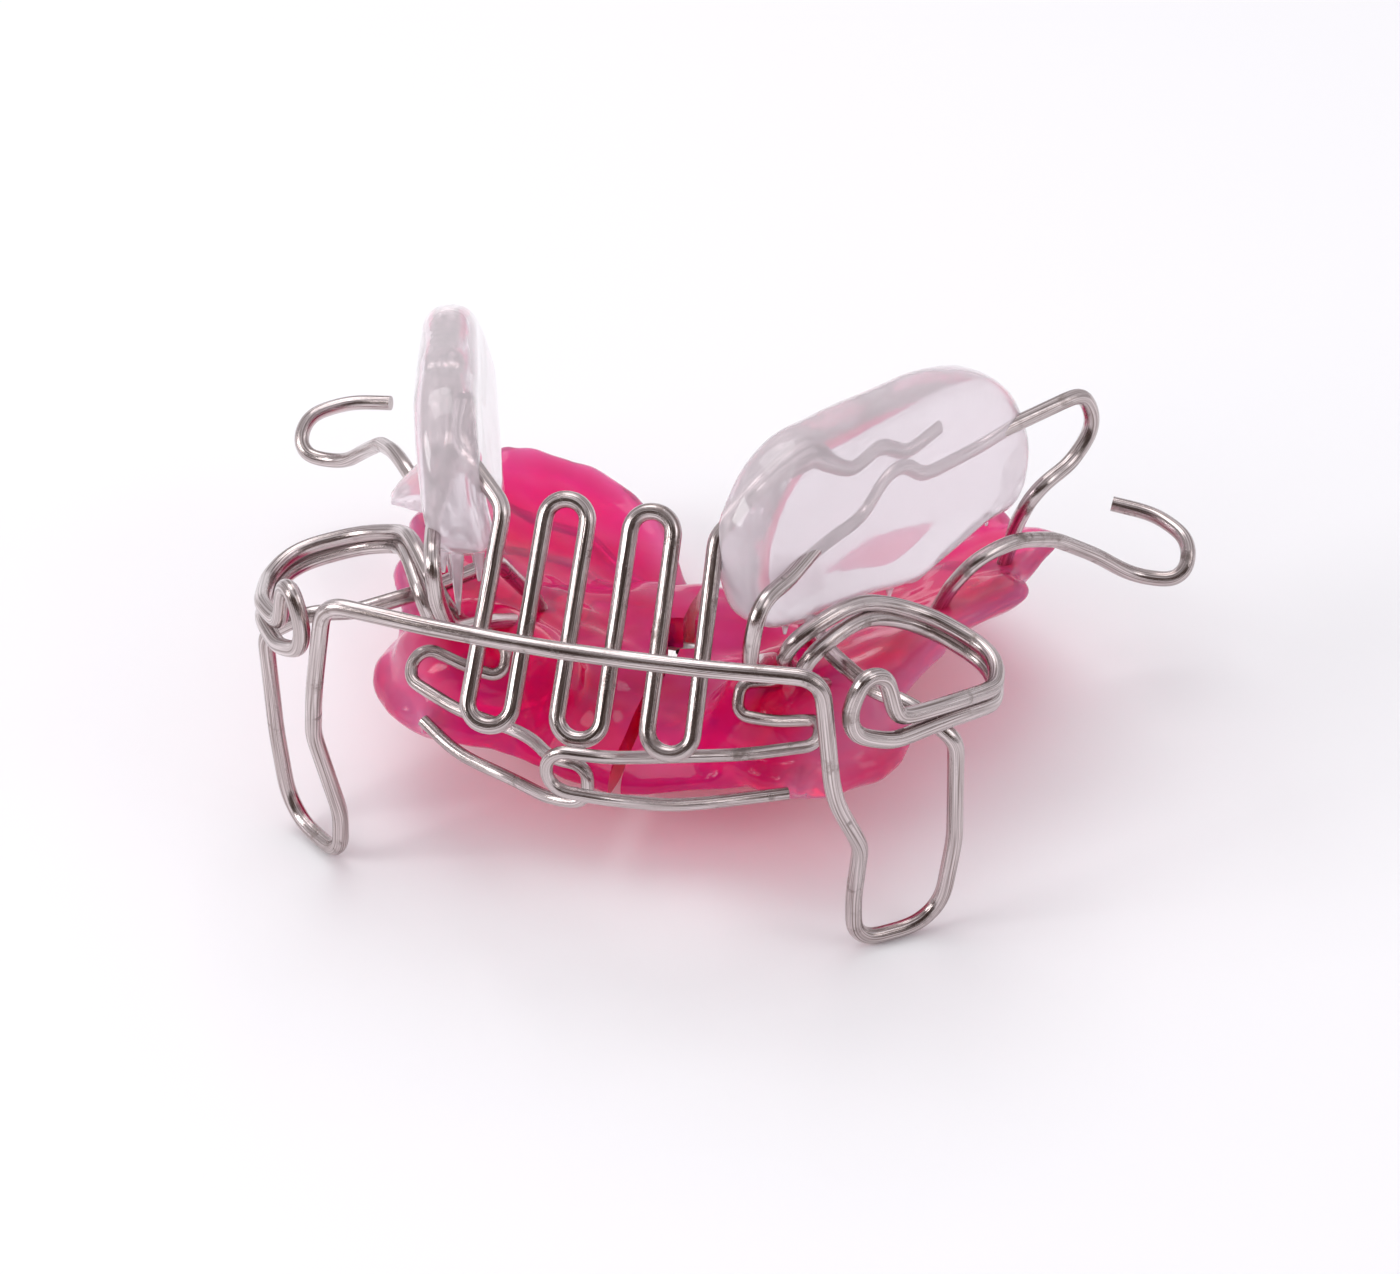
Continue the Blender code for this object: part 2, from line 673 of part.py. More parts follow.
for sign, hand, frame in GROUPS:
    plate = plate_shell("plate_" + hand, sign)
    finish_object(plate, MAGENTA, frame)
    mound = ball("wire_mound_" + hand, (sign * MOUND_SIDE, MOUND_BACK, MOUND_HEIGHT),
                 (MOUND_WIDTH / 2, MOUND_DEPTH / 2, MOUND_DEPTH / 2))
    saw = as_cutter(block("saw_cut_" + hand, (-sign * beyond, -beyond, -beyond), (sign * SAW_CUT / 2, beyond, beyond)))
    combine(plate, boss, "UNION", "MANIFOLD")
    combine(plate, mound, "UNION", "MANIFOLD")
    for tool in (saw, window, pocket, floor_trim):
        combine(plate, tool, "DIFFERENCE", "MANIFOLD")
    entries = (
        ("bow_tunnel_", bow_half(sign)[-2:] + bow_tag(sign), BOW_WIRE),
        ("spring_tunnel_", spring_route(sign)[:4], SPRING_WIRE),
        ("connector_front_tunnel_", connector_front_tag(sign) + connector_rise(sign)[:2], CONNECTOR_WIRE),
        ("connector_back_tunnel_", connector_loop(sign)[-2:] + connector_back_tag(sign), CONNECTOR_WIRE),
        ("buccal_upper_tunnel_", buccal_route(sign)[:4], BUCCAL_WIRE),
        ("buccal_lower_tunnel_", buccal_route(sign)[-4:], BUCCAL_WIRE),
        ("clasp_tunnel_", clasp_arm(sign)[-2:] + clasp_tag(sign), CLASP_WIRE),
    )
    for label, corners, diameter in entries:
        combine(plate, tunnel(label + hand, corners, diameter), "DIFFERENCE", "MANIFOLD")

# Expansion screw: two housings, a spindle with a drum for the key, and two guide pins
core_length = 2 * (SCREW_HALF_LENGTH - CORE_SHORTER)
spindle_bore = as_cutter(rod("spindle_bore", SPINDLE + 2 * CLEARANCE, beyond, (0, SCREW_BACK, SCREW_HEIGHT), (1, 0, 0)))
pin_bores = []
for label, place in (("front", -1), ("rear", 1)):
    y = SCREW_BACK + place * GUIDE_PIN_SPACING / 2
    pin = rod("guide_pin_" + label, GUIDE_PIN, core_length, (0, y, SCREW_HEIGHT), (1, 0, 0))
    finish_object(pin, SCREW_STEEL, core_frame)
    pin_bores.append(as_cutter(rod("guide_bore_" + label, GUIDE_PIN + 2 * CLEARANCE, beyond,
                                   (0, y, SCREW_HEIGHT), (1, 0, 0))))
for sign, hand, frame in GROUPS:
    inner = sign * (DRUM_LENGTH / 2 + CLEARANCE)
    outer = sign * SCREW_HALF_LENGTH
    body = block("screw_body_" + hand, (inner, SCREW_BACK - BODY_WIDTH / 2, SCREW_HEIGHT - BODY_HEIGHT / 2),
                 (outer, SCREW_BACK + BODY_WIDTH / 2, SCREW_HEIGHT + BODY_HEIGHT / 2), 0.25)
    finish_object(body, SCREW_STEEL, frame)
    for tool in [spindle_bore] + pin_bores:
        combine(body, tool, "DIFFERENCE")
spindle = rod("screw_spindle", SPINDLE, core_length, (0, 0, 0), (1, 0, 0))
spindle.location = Vector((0, SCREW_BACK, SCREW_HEIGHT)) * MM
drum = as_cutter(rod("spindle_drum", DRUM, DRUM_LENGTH, (0, SCREW_BACK, SCREW_HEIGHT), (1, 0, 0)))
combine(spindle, drum, "UNION")
for label, axis in (("a", (0, 1, 0)), ("b", (0, 0, 1))):
    hole = as_cutter(rod("key_hole_" + label, KEY_HOLE, DRUM + 1, (0, SCREW_BACK, SCREW_HEIGHT), axis))
    combine(spindle, hole, "DIFFERENCE")
finish_object(spindle, SCREW_STEEL, core_frame)

# Steel wires
wire("labial_bow", bow_route(), BOW_WIRE, None)
wire("tongue_crib", crib_route(), CRIB_WIRE, None)
for sign, hand, frame in GROUPS:
    wire("connecting_wire_" + hand, connector_route(sign), CONNECTOR_WIRE, frame)
    wire("buccal_loop_" + hand, buccal_route(sign), BUCCAL_WIRE, frame)
    wire("protrusion_spring_" + hand, spring_route(sign), SPRING_WIRE, frame)
    wire("molar_clasp_" + hand, clasp_arm(sign) + clasp_tag(sign), CLASP_WIRE, frame)


# Side wings: thick slabs with a round edge, in upright planes that open towards the back
def wing(name, sign, frame):
    shares = [(0.069, 0.309), (0.016, 0.496), (0.0, 0.669), (0.045, 0.871), (0.150, 1.0), (0.313, 0.986),
              (0.516, 0.914), (0.695, 0.835), (0.850, 0.669), (0.959, 0.439), (1.0, 0.216), (0.955, 0.072),
              (0.833, 0.043), (0.703, 0.007), (0.589, 0.0), (0.435, 0.101), (0.264, 0.194)]
    place, angle = wing_line(sign)
    height = WING_HEIGHT if sign > 0 else WING_HEIGHT + LEFT_WING_TALLER
    curve = bpy.data.curves.new(name, "CURVE")
    curve.dimensions = "2D"
    curve.fill_mode = "BOTH"
    curve.extrude = (WING_THICKNESS / 2 - WING_EDGE) * MM
    curve.bevel_depth = WING_EDGE * MM
    curve.bevel_resolution = 1
    curve.offset = -WING_EDGE * MM
    curve.resolution_u = 2
    spline = curve.splines.new("BEZIER")
    spline.bezier_points.add(len(shares) - 1)
    for point, (back, up) in zip(spline.bezier_points, shares):
        run = (back * WING_LENGTH - WING_NOSE) / math.cos(angle)
        point.co = (run * MM, (WING_FOOT + up * height) * MM, 0)
        point.handle_left_type = "AUTO"
        point.handle_right_type = "AUTO"
    spline.use_cyclic_u = True
    flat = bpy.data.objects.new(name, curve)
    collection.objects.link(flat)
    along = Vector((sign * math.sin(angle), math.cos(angle), 0))
    up = Vector((0, 0, 1))
    out = along.cross(up)
    turn = Matrix((along, up, out)).transposed().to_4x4()
    flat.matrix_world = Matrix.Translation(Vector((sign * place, WING_FRONT, 0)) * MM) @ turn
    slab = as_mesh(flat)
    finish_object(slab, CLEAR, None)
    slab.data.transform(slab.matrix_world)
    slab.matrix_world = Matrix.Identity(4)
    for vert in slab.data.vertices:
        vert.co.x += sign * wing_lean(sign) * (vert.co.z - WING_FOOT * MM)
    if frame is not None:
        slab.parent = frame
        slab.matrix_parent_inverse = Matrix.Translation(-frame.location)
    return slab


for sign, hand, frame in GROUPS:
    slab = wing("wing_" + hand, sign, frame)
    crib_end = crib_route()[-8:] if sign > 0 else list(reversed(crib_route()[:8]))
    combine(slab, tunnel("crib_tunnel_" + hand, crib_end, CRIB_WIRE), "DIFFERENCE", "MANIFOLD")
    through = connector_rise(sign)[-3:] + connector_in_wing(sign) + connector_loop(sign)[:1]
    combine(slab, tunnel("connector_tunnel_" + hand, through, CONNECTOR_WIRE), "DIFFERENCE", "MANIFOLD")
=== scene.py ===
import math

import bmesh
import bpy
from mathutils import Matrix, Vector
from mathutils.kdtree import KDTree


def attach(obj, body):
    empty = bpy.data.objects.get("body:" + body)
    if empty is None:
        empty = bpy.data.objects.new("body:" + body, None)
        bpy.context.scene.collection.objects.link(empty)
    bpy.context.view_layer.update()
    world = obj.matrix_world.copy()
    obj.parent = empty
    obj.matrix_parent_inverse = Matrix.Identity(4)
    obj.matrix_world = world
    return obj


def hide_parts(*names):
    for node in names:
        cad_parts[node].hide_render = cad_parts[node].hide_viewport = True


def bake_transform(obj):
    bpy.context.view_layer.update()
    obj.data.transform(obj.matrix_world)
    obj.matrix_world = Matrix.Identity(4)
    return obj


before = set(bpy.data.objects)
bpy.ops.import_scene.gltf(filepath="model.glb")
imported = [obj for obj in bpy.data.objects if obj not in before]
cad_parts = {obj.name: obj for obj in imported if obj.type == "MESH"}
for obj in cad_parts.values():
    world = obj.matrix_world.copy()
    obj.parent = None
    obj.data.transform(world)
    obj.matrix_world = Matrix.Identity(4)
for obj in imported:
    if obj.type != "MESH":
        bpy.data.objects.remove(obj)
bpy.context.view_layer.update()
MM = 0.001

# The table and the light: a pale matt sheet under three square soft boxes, overhead, right and front left.
# The sky is a plain pale dome with a darker wall behind the viewer that only polished metal shows.
SHEET_HALF, SHEET_DEPTH = 1.5, -0.0001
floor_mesh = bpy.data.meshes.new("table_sheet")
corner_signs = ((-1, -1), (1, -1), (1, 1), (-1, 1))
sheet_corners = [(x * SHEET_HALF, y * SHEET_HALF, SHEET_DEPTH) for x, y in corner_signs]
floor_mesh.from_pydata(sheet_corners, [], [(0, 1, 2, 3)])
floor = bpy.data.objects.new("table_sheet", floor_mesh)
bpy.context.scene.collection.objects.link(floor)
paper = bpy.data.materials.new("pale_paper")
paper.use_nodes = True
paper_shader = paper.node_tree.nodes["Principled BSDF"]
paper_shader.inputs["Base Color"].default_value = (0.93, 0.92, 0.94, 1)
paper_shader.inputs["Roughness"].default_value = 0.85
paper_shader.inputs["Specular IOR Level"].default_value = 0.2
floor_mesh.materials.append(paper)

for lamp_name, place, size, power in (
    ("overhead_softbox", (-0.10, 0.14, 0.42), 0.30, 0.62),
    ("side_softbox", (0.36, -0.10, 0.26), 0.20, 0.22),
    ("front_softbox", (-0.34, -0.26, 0.22), 0.20, 0.85),
):
    lamp_data = bpy.data.lights.new(lamp_name, "AREA")
    lamp_data.shape = "SQUARE"
    lamp_data.size = size
    lamp_data.energy = power
    lamp = bpy.data.objects.new(lamp_name, lamp_data)
    lamp.location = place
    lamp.rotation_euler = (Vector((0, 0, 0.01)) - Vector(place)).to_track_quat("-Z", "Y").to_euler()
    bpy.context.scene.collection.objects.link(lamp)

sky = bpy.data.worlds.new("studio_room")
sky.use_nodes = True
bpy.context.scene.world = sky
net = sky.node_tree
net.nodes.clear()
direction = net.nodes.new("ShaderNodeTexCoord")
split = net.nodes.new("ShaderNodeSeparateXYZ")
net.links.new(direction.outputs["Generated"], split.inputs[0])
towards_viewer = net.nodes.new("ShaderNodeMapRange")
towards_viewer.interpolation_type = "SMOOTHSTEP"
towards_viewer.inputs["From Min"].default_value = -0.12
towards_viewer.inputs["From Max"].default_value = -0.62
net.links.new(split.outputs["Y"], towards_viewer.inputs["Value"])
below_ceiling = net.nodes.new("ShaderNodeMapRange")
below_ceiling.interpolation_type = "SMOOTHSTEP"
below_ceiling.inputs["From Min"].default_value = 0.86
below_ceiling.inputs["From Max"].default_value = 0.66
net.links.new(split.outputs["Z"], below_ceiling.inputs["Value"])
wall = net.nodes.new("ShaderNodeMath")
wall.operation = "MULTIPLY"
net.links.new(towards_viewer.outputs["Result"], wall.inputs[0])
net.links.new(below_ceiling.outputs["Result"], wall.inputs[1])
ray = net.nodes.new("ShaderNodeLightPath")
only_metal = net.nodes.new("ShaderNodeMath")
only_metal.operation = "MULTIPLY"
net.links.new(wall.outputs[0], only_metal.inputs[0])
net.links.new(ray.outputs["Is Glossy Ray"], only_metal.inputs[1])
room = net.nodes.new("ShaderNodeMix")
room.data_type = "RGBA"
room.inputs["A"].default_value = (0.64, 0.63, 0.65, 1)
room.inputs["B"].default_value = (0.085, 0.060, 0.052, 1)
net.links.new(only_metal.outputs[0], room.inputs["Factor"])
dome = net.nodes.new("ShaderNodeBackground")
net.links.new(room.outputs["Result"], dome.inputs["Color"])
sky_out = net.nodes.new("ShaderNodeOutputWorld")
net.links.new(dome.outputs[0], sky_out.inputs["Surface"])

# The camera, at the photograph's place: a long lens looking down on the front of the appliance,
# a little from its right-hand side.
azimuth, elevation, roll = math.radians(13.79), math.radians(33.95), math.radians(-0.74)
CAMERA_PLACE, LENS = (0.0419, -0.1625, 0.12065), 92.1
ahead = Vector((-math.sin(azimuth) * math.cos(elevation), math.cos(azimuth) * math.cos(elevation),
                -math.sin(elevation)))
across = Vector((math.cos(azimuth), math.sin(azimuth), 0))
down = ahead.cross(across)
rolled_across = across * math.cos(roll) + down * math.sin(roll)
rolled_down = down * math.cos(roll) - across * math.sin(roll)
camera_data = bpy.data.cameras.new("camera")
camera_data.sensor_fit = "HORIZONTAL"
camera_data.sensor_width = 36
camera_data.lens = LENS
camera_data.clip_start = 0.01
camera = bpy.data.objects.new("camera", camera_data)
turn = Matrix((rolled_across, -rolled_down, -ahead)).transposed().to_4x4()
camera.matrix_world = Matrix.Translation(CAMERA_PLACE) @ turn
bpy.context.scene.collection.objects.link(camera)
bpy.context.scene.camera = camera
bpy.context.scene.view_settings.view_transform = "Standard"

# Expansion screw: two milled housings, two guide pins and a spindle with a drum for the key.
# Stainless steel, turned and milled; the housings are cast into the plate, one in each half.
screw_steel = bpy.data.materials.new("turned_screw_steel")
screw_steel.use_nodes = True
net = screw_steel.node_tree
shader = net.nodes["Principled BSDF"]
shader.inputs["Metallic"].default_value = 1.0
spot = net.nodes.new("ShaderNodeTexCoord")
stretch = net.nodes.new("ShaderNodeMapping")
stretch.inputs["Scale"].default_value = (9000, 500, 500)
net.links.new(spot.outputs["Object"], stretch.inputs["Vector"])
turning = net.nodes.new("ShaderNodeTexNoise")
turning.inputs["Scale"].default_value = 1.0
turning.inputs["Detail"].default_value = 3.0
net.links.new(stretch.outputs["Vector"], turning.inputs["Vector"])
tint = net.nodes.new("ShaderNodeValToRGB")
tint.color_ramp.elements[0].position = 0.3
tint.color_ramp.elements[0].color = (0.36, 0.34, 0.34, 1)
tint.color_ramp.elements[1].position = 0.7
tint.color_ramp.elements[1].color = (0.60, 0.58, 0.58, 1)
net.links.new(turning.outputs["Fac"], tint.inputs["Fac"])
net.links.new(tint.outputs["Color"], shader.inputs["Base Color"])
shine = net.nodes.new("ShaderNodeMapRange")
shine.inputs["To Min"].default_value = 0.22
shine.inputs["To Max"].default_value = 0.42
net.links.new(turning.outputs["Fac"], shine.inputs["Value"])
net.links.new(shine.outputs["Result"], shader.inputs["Roughness"])
for node in ("screw_body_left", "screw_body_right", "screw_spindle", "guide_pin_front", "guide_pin_rear"):
    steel_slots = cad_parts[node].data.materials
    steel_slots.clear()
    steel_slots.append(screw_steel)

SCREW_BACK, SCREW_HEIGHT = 3.8, 2.95
SPINDLE_RADIUS, DRUM_HALF, SPINDLE_HALF, PITCH, RIDGE = 0.6, 0.9, 5.6, 0.4, 0.17
thread_tree = bpy.data.node_groups.new("screw_thread", "GeometryNodeTree")
for label, value in (("Core Radius", SPINDLE_RADIUS), ("Pitch", PITCH), ("Start", DRUM_HALF),
                     ("Length", SPINDLE_HALF - DRUM_HALF), ("Ridge", RIDGE)):
    socket = thread_tree.interface.new_socket(label, in_out="INPUT", socket_type="NodeSocketFloat")
    socket.default_value = value * MM
thread_tree.interface.new_socket("Steel", in_out="INPUT", socket_type="NodeSocketMaterial")
thread_tree.interface.new_socket("Geometry", in_out="OUTPUT", socket_type="NodeSocketGeometry")
given = thread_tree.nodes.new("NodeGroupInput")
result = thread_tree.nodes.new("NodeGroupOutput")
turns = thread_tree.nodes.new("ShaderNodeMath")
turns.operation = "DIVIDE"
thread_tree.links.new(given.outputs["Length"], turns.inputs[0])
thread_tree.links.new(given.outputs["Pitch"], turns.inputs[1])
ridge_profile = thread_tree.nodes.new("GeometryNodeCurvePrimitiveCircle")
ridge_profile.inputs["Resolution"].default_value = 6
thread_tree.links.new(given.outputs["Ridge"], ridge_profile.inputs["Radius"])
halves = thread_tree.nodes.new("GeometryNodeJoinGeometry")
for lean in (1, -1):
    helix = thread_tree.nodes.new("GeometryNodeCurveSpiral")
    helix.inputs["Resolution"].default_value = 20
    helix.inputs["Reverse"].default_value = lean < 0
    thread_tree.links.new(turns.outputs[0], helix.inputs["Rotations"])
    thread_tree.links.new(given.outputs["Core Radius"], helix.inputs["Start Radius"])
    thread_tree.links.new(given.outputs["Core Radius"], helix.inputs["End Radius"])
    thread_tree.links.new(given.outputs["Length"], helix.inputs["Height"])
    sweep = thread_tree.nodes.new("GeometryNodeCurveToMesh")
    sweep.inputs["Fill Caps"].default_value = True
    thread_tree.links.new(helix.outputs["Curve"], sweep.inputs["Curve"])
    thread_tree.links.new(ridge_profile.outputs["Curve"], sweep.inputs["Profile Curve"])
    lift = thread_tree.nodes.new("ShaderNodeCombineXYZ")
    thread_tree.links.new(given.outputs["Start"], lift.inputs["Z"])
    shift = thread_tree.nodes.new("GeometryNodeTransform")
    thread_tree.links.new(sweep.outputs["Mesh"], shift.inputs["Geometry"])
    thread_tree.links.new(lift.outputs["Vector"], shift.inputs["Translation"])
    lay = thread_tree.nodes.new("GeometryNodeTransform")
    lay.inputs["Rotation"].default_value = (0, math.radians(90 * lean), 0)
    thread_tree.links.new(shift.outputs["Geometry"], lay.inputs["Geometry"])
    thread_tree.links.new(lay.outputs["Geometry"], halves.inputs["Geometry"])
seat = thread_tree.nodes.new("GeometryNodeTransform")
seat.inputs["Translation"].default_value = (0, SCREW_BACK * MM, SCREW_HEIGHT * MM)
thread_tree.links.new(halves.outputs["Geometry"], seat.inputs["Geometry"])
solid = thread_tree.nodes.new("GeometryNodeRealizeInstances")
thread_tree.links.new(seat.outputs["Geometry"], solid.inputs["Geometry"])
finish = thread_tree.nodes.new("GeometryNodeSetMaterial")
thread_tree.links.new(solid.outputs["Geometry"], finish.inputs["Geometry"])
thread_tree.links.new(given.outputs["Steel"], finish.inputs["Material"])
thread_tree.links.new(finish.outputs["Geometry"], result.inputs["Geometry"])


def grown(name, start, tree, values):
    """A plain mesh object of what a node tree makes from a start mesh, with its inputs set by name."""
    obj = bpy.data.objects.new(name, start)
    bpy.context.scene.collection.objects.link(obj)
    step = obj.modifiers.new("made", "NODES")
    step.node_group = tree
    for item in tree.interface.items_tree:
        if item.item_type == "SOCKET" and item.in_out == "INPUT" and item.name in values:
            step[item.identifier] = values[item.name]
    bpy.context.view_layer.update()
    made = bpy.data.meshes.new_from_object(obj.evaluated_get(bpy.context.evaluated_depsgraph_get()))
    obj.modifiers.remove(step)
    obj.data = made
    made.name = name
    return obj


thread = grown("spindle_thread", bpy.data.meshes.new("thread_start"), thread_tree, {"Steel": screw_steel})
thread.data.shade_smooth()
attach(thread, "spindle")

# Labial bow: one 0.9 mm spring-hard steel wire, bent by hand with pliers.
# It runs across the front, down round a U loop on each side and back into the plate, where it is cast in.
BOW_WIRE, WIRE_SIDES, EASED_STEP, BEND_SHARE, BEND_STEP = 0.9, 20, 0.25, 0.48, math.radians(7)
BOW_FRONT, BOW_HEIGHT, BOW_HALF_WIDTH, BOW_SWEEP = -20.48, 20.05, 13.0, 1.1
U_LOOP_INNER, U_LOOP_OUTER, KINK_SHARE_RIGHT, KINK_SHARE_LEFT = 14.5, 18.9, 0.40, 0.48
U_LOOP_FRONT, U_LOOP_BACK, KNEE_HEIGHT, BUCCAL_SIDE = -15.2, -12.0, 12.9, 20.2
PLATE_HEEL, HEEL_HEIGHT, SCREW_VAULT, VAULT_RISE = 11.9, 0.62, 4.7, 7.8

wire_steel = bpy.data.materials.new("spring_hard_wire")
wire_steel.use_nodes = True
net = wire_steel.node_tree
shader = net.nodes["Principled BSDF"]
shader.inputs["Metallic"].default_value = 1.0
along = net.nodes.new("ShaderNodeAttribute")
along.attribute_name = "along"
around = net.nodes.new("ShaderNodeAttribute")
around.attribute_name = "around"
run = net.nodes.new("ShaderNodeCombineXYZ")
net.links.new(along.outputs["Fac"], run.inputs["X"])
net.links.new(around.outputs["Fac"], run.inputs["Y"])
drawn = net.nodes.new("ShaderNodeMapping")
drawn.inputs["Scale"].default_value = (170, 34, 1)
net.links.new(run.outputs["Vector"], drawn.inputs["Vector"])
draw_lines = net.nodes.new("ShaderNodeTexNoise")
draw_lines.inputs["Scale"].default_value = 1.0
draw_lines.inputs["Detail"].default_value = 4.0
net.links.new(drawn.outputs["Vector"], draw_lines.inputs["Vector"])
spot = net.nodes.new("ShaderNodeTexCoord")
nicks = net.nodes.new("ShaderNodeTexNoise")
nicks.inputs["Scale"].default_value = 520.0
nicks.inputs["Detail"].default_value = 5.0
nicks.inputs["Roughness"].default_value = 0.65
net.links.new(spot.outputs["Object"], nicks.inputs["Vector"])
nicked = net.nodes.new("ShaderNodeMapRange")
nicked.interpolation_type = "SMOOTHSTEP"
nicked.inputs["From Min"].default_value = 0.56
nicked.inputs["From Max"].default_value = 0.70
net.links.new(nicks.outputs["Fac"], nicked.inputs["Value"])
line_tint = net.nodes.new("ShaderNodeValToRGB")
line_tint.color_ramp.elements[0].position = 0.34
line_tint.color_ramp.elements[0].color = (0.25, 0.195, 0.185, 1)
line_tint.color_ramp.elements[1].position = 0.62
line_tint.color_ramp.elements[1].color = (0.74, 0.66, 0.66, 1)
net.links.new(draw_lines.outputs["Fac"], line_tint.inputs["Fac"])
dulled = net.nodes.new("ShaderNodeMix")
dulled.data_type = "RGBA"
dulled.inputs["B"].default_value = (0.27, 0.22, 0.21, 1)
net.links.new(nicked.outputs["Result"], dulled.inputs["Factor"])
net.links.new(line_tint.outputs["Color"], dulled.inputs["A"])
net.links.new(dulled.outputs["Result"], shader.inputs["Base Color"])
rough = net.nodes.new("ShaderNodeMapRange")
rough.inputs["To Min"].default_value = 0.20
rough.inputs["To Max"].default_value = 0.38
net.links.new(nicked.outputs["Result"], rough.inputs["Value"])
net.links.new(rough.outputs["Result"], shader.inputs["Roughness"])
grain = net.nodes.new("ShaderNodeMath")
grain.operation = "ADD"
net.links.new(draw_lines.outputs["Fac"], grain.inputs[0])
net.links.new(nicks.outputs["Fac"], grain.inputs[1])
relief = net.nodes.new("ShaderNodeBump")
relief.inputs["Strength"].default_value = 0.40
relief.inputs["Distance"].default_value = 0.00006
net.links.new(grain.outputs[0], relief.inputs["Height"])
net.links.new(relief.outputs["Normal"], shader.inputs["Normal"])

wire_tree = bpy.data.node_groups.new("bent_wire", "GeometryNodeTree")
for label, kind in (("Path", "NodeSocketGeometry"), ("Radius", "NodeSocketFloat"),
                    ("Sides", "NodeSocketInt"), ("Steel", "NodeSocketMaterial")):
    wire_tree.interface.new_socket(label, in_out="INPUT", socket_type=kind)
wire_tree.interface.new_socket("Geometry", in_out="OUTPUT", socket_type="NodeSocketGeometry")
given = wire_tree.nodes.new("NodeGroupInput")
result = wire_tree.nodes.new("NodeGroupOutput")
line = wire_tree.nodes.new("GeometryNodeMeshToCurve")
wire_tree.links.new(given.outputs["Path"], line.inputs["Mesh"])
length_so_far = wire_tree.nodes.new("GeometryNodeSplineParameter")
keep_along = wire_tree.nodes.new("GeometryNodeStoreNamedAttribute")
keep_along.data_type = "FLOAT"
keep_along.domain = "POINT"
keep_along.inputs["Name"].default_value = "along"
wire_tree.links.new(line.outputs["Curve"], keep_along.inputs["Geometry"])
wire_tree.links.new(length_so_far.outputs["Length"], keep_along.inputs["Value"])
ring = wire_tree.nodes.new("GeometryNodeCurvePrimitiveCircle")
wire_tree.links.new(given.outputs["Sides"], ring.inputs["Resolution"])
wire_tree.links.new(given.outputs["Radius"], ring.inputs["Radius"])
keep_around = wire_tree.nodes.new("GeometryNodeStoreNamedAttribute")
keep_around.data_type = "FLOAT"
keep_around.domain = "POINT"
keep_around.inputs["Name"].default_value = "around"
wire_tree.links.new(ring.outputs["Curve"], keep_around.inputs["Geometry"])
wire_tree.links.new(length_so_far.outputs["Factor"], keep_around.inputs["Value"])
sweep = wire_tree.nodes.new("GeometryNodeCurveToMesh")
sweep.inputs["Fill Caps"].default_value = True
wire_tree.links.new(keep_along.outputs["Geometry"], sweep.inputs["Curve"])
wire_tree.links.new(keep_around.outputs["Geometry"], sweep.inputs["Profile Curve"])
solid = wire_tree.nodes.new("GeometryNodeRealizeInstances")
wire_tree.links.new(sweep.outputs["Mesh"], solid.inputs["Geometry"])
finish = wire_tree.nodes.new("GeometryNodeSetMaterial")
wire_tree.links.new(solid.outputs["Geometry"], finish.inputs["Geometry"])
wire_tree.links.new(given.outputs["Steel"], finish.inputs["Material"])
wire_tree.links.new(finish.outputs["Geometry"], result.inputs["Geometry"])


def bent(corners):
    """Corners (x, y, z, bend radius) as points on straight runs joined by fine arcs."""
    spots = [Vector(c[:3]) for c in corners]
    path = [spots[0]]
    for before, here, after, radius in zip(spots, spots[1:], spots[2:], [c[3] for c in corners[1:]]):
        inward = (before - here).normalized()
        outward = (after - here).normalized()
        angle = math.pi - inward.angle(outward)
        if angle < 0.03:
            path.append(here)
            continue
        room_for_bend = BEND_SHARE * min((before - here).length, (after - here).length)
        reach = min(radius * math.tan(angle / 2), room_for_bend)
        true_radius = reach / math.tan(angle / 2)
        middle = here + (inward + outward).normalized() * (true_radius / math.cos(angle / 2))
        start = here + inward * reach - middle
        end = here + outward * reach - middle
        steps = max(2, math.ceil(angle / BEND_STEP))
        for k in range(steps + 1):
            part = k / steps
            weight_a = math.sin((1 - part) * angle) / math.sin(angle)
            weight_b = math.sin(part * angle) / math.sin(angle)
            path.append(middle + start * weight_a + end * weight_b)
    path.append(spots[-1])
    return path


def eased(path, rounds):
    """The same path in even short steps, its bends evened out as a hand-bent wire's are."""
    even = [path[0]]
    for a, b in zip(path, path[1:]):
        count = max(1, round((b - a).length / EASED_STEP))
        even += [a.lerp(b, k / count) for k in range(1, count + 1)]
    for _ in range(rounds):
        inner = [(a + 2 * b + c) / 4 for a, b, c in zip(even, even[1:], even[2:])]
        even = [even[0]] + inner + [even[-1]]
    return even


def steel_wire(name, corners, diameter, node, rounds=10):
    """A round wire along its corners, in place of its CAD node."""
    path = [p * MM for p in eased(bent(corners), rounds)]
    start = bpy.data.meshes.new(name + "_path")
    start.from_pydata(path, [(k, k + 1) for k in range(len(path) - 1)], [])
    sizes = {"Radius": diameter / 2 * MM, "Sides": WIRE_SIDES, "Steel": wire_steel}
    obj = grown(name, start, wire_tree, sizes)
    cage = bmesh.new()
    cage.from_mesh(obj.data)
    bmesh.ops.remove_doubles(cage, verts=cage.verts, dist=0.000002)
    bmesh.ops.recalc_face_normals(cage, faces=cage.faces)
    cage.to_mesh(obj.data)
    cage.free()
    obj.data.shade_smooth()
    obj.data.set_sharp_from_angle(angle=math.radians(50))
    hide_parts(node)
    return obj


def side(corners, sign):
    """Corners of a right-hand route, mirrored for the left hand where sign is -1."""
    return [(sign * x, y, z, r) for x, y, z, r in corners]


def eased_in(share):
    """A share from 0 to 1 that starts and ends gently."""
    return share * share * (3 - 2 * share)


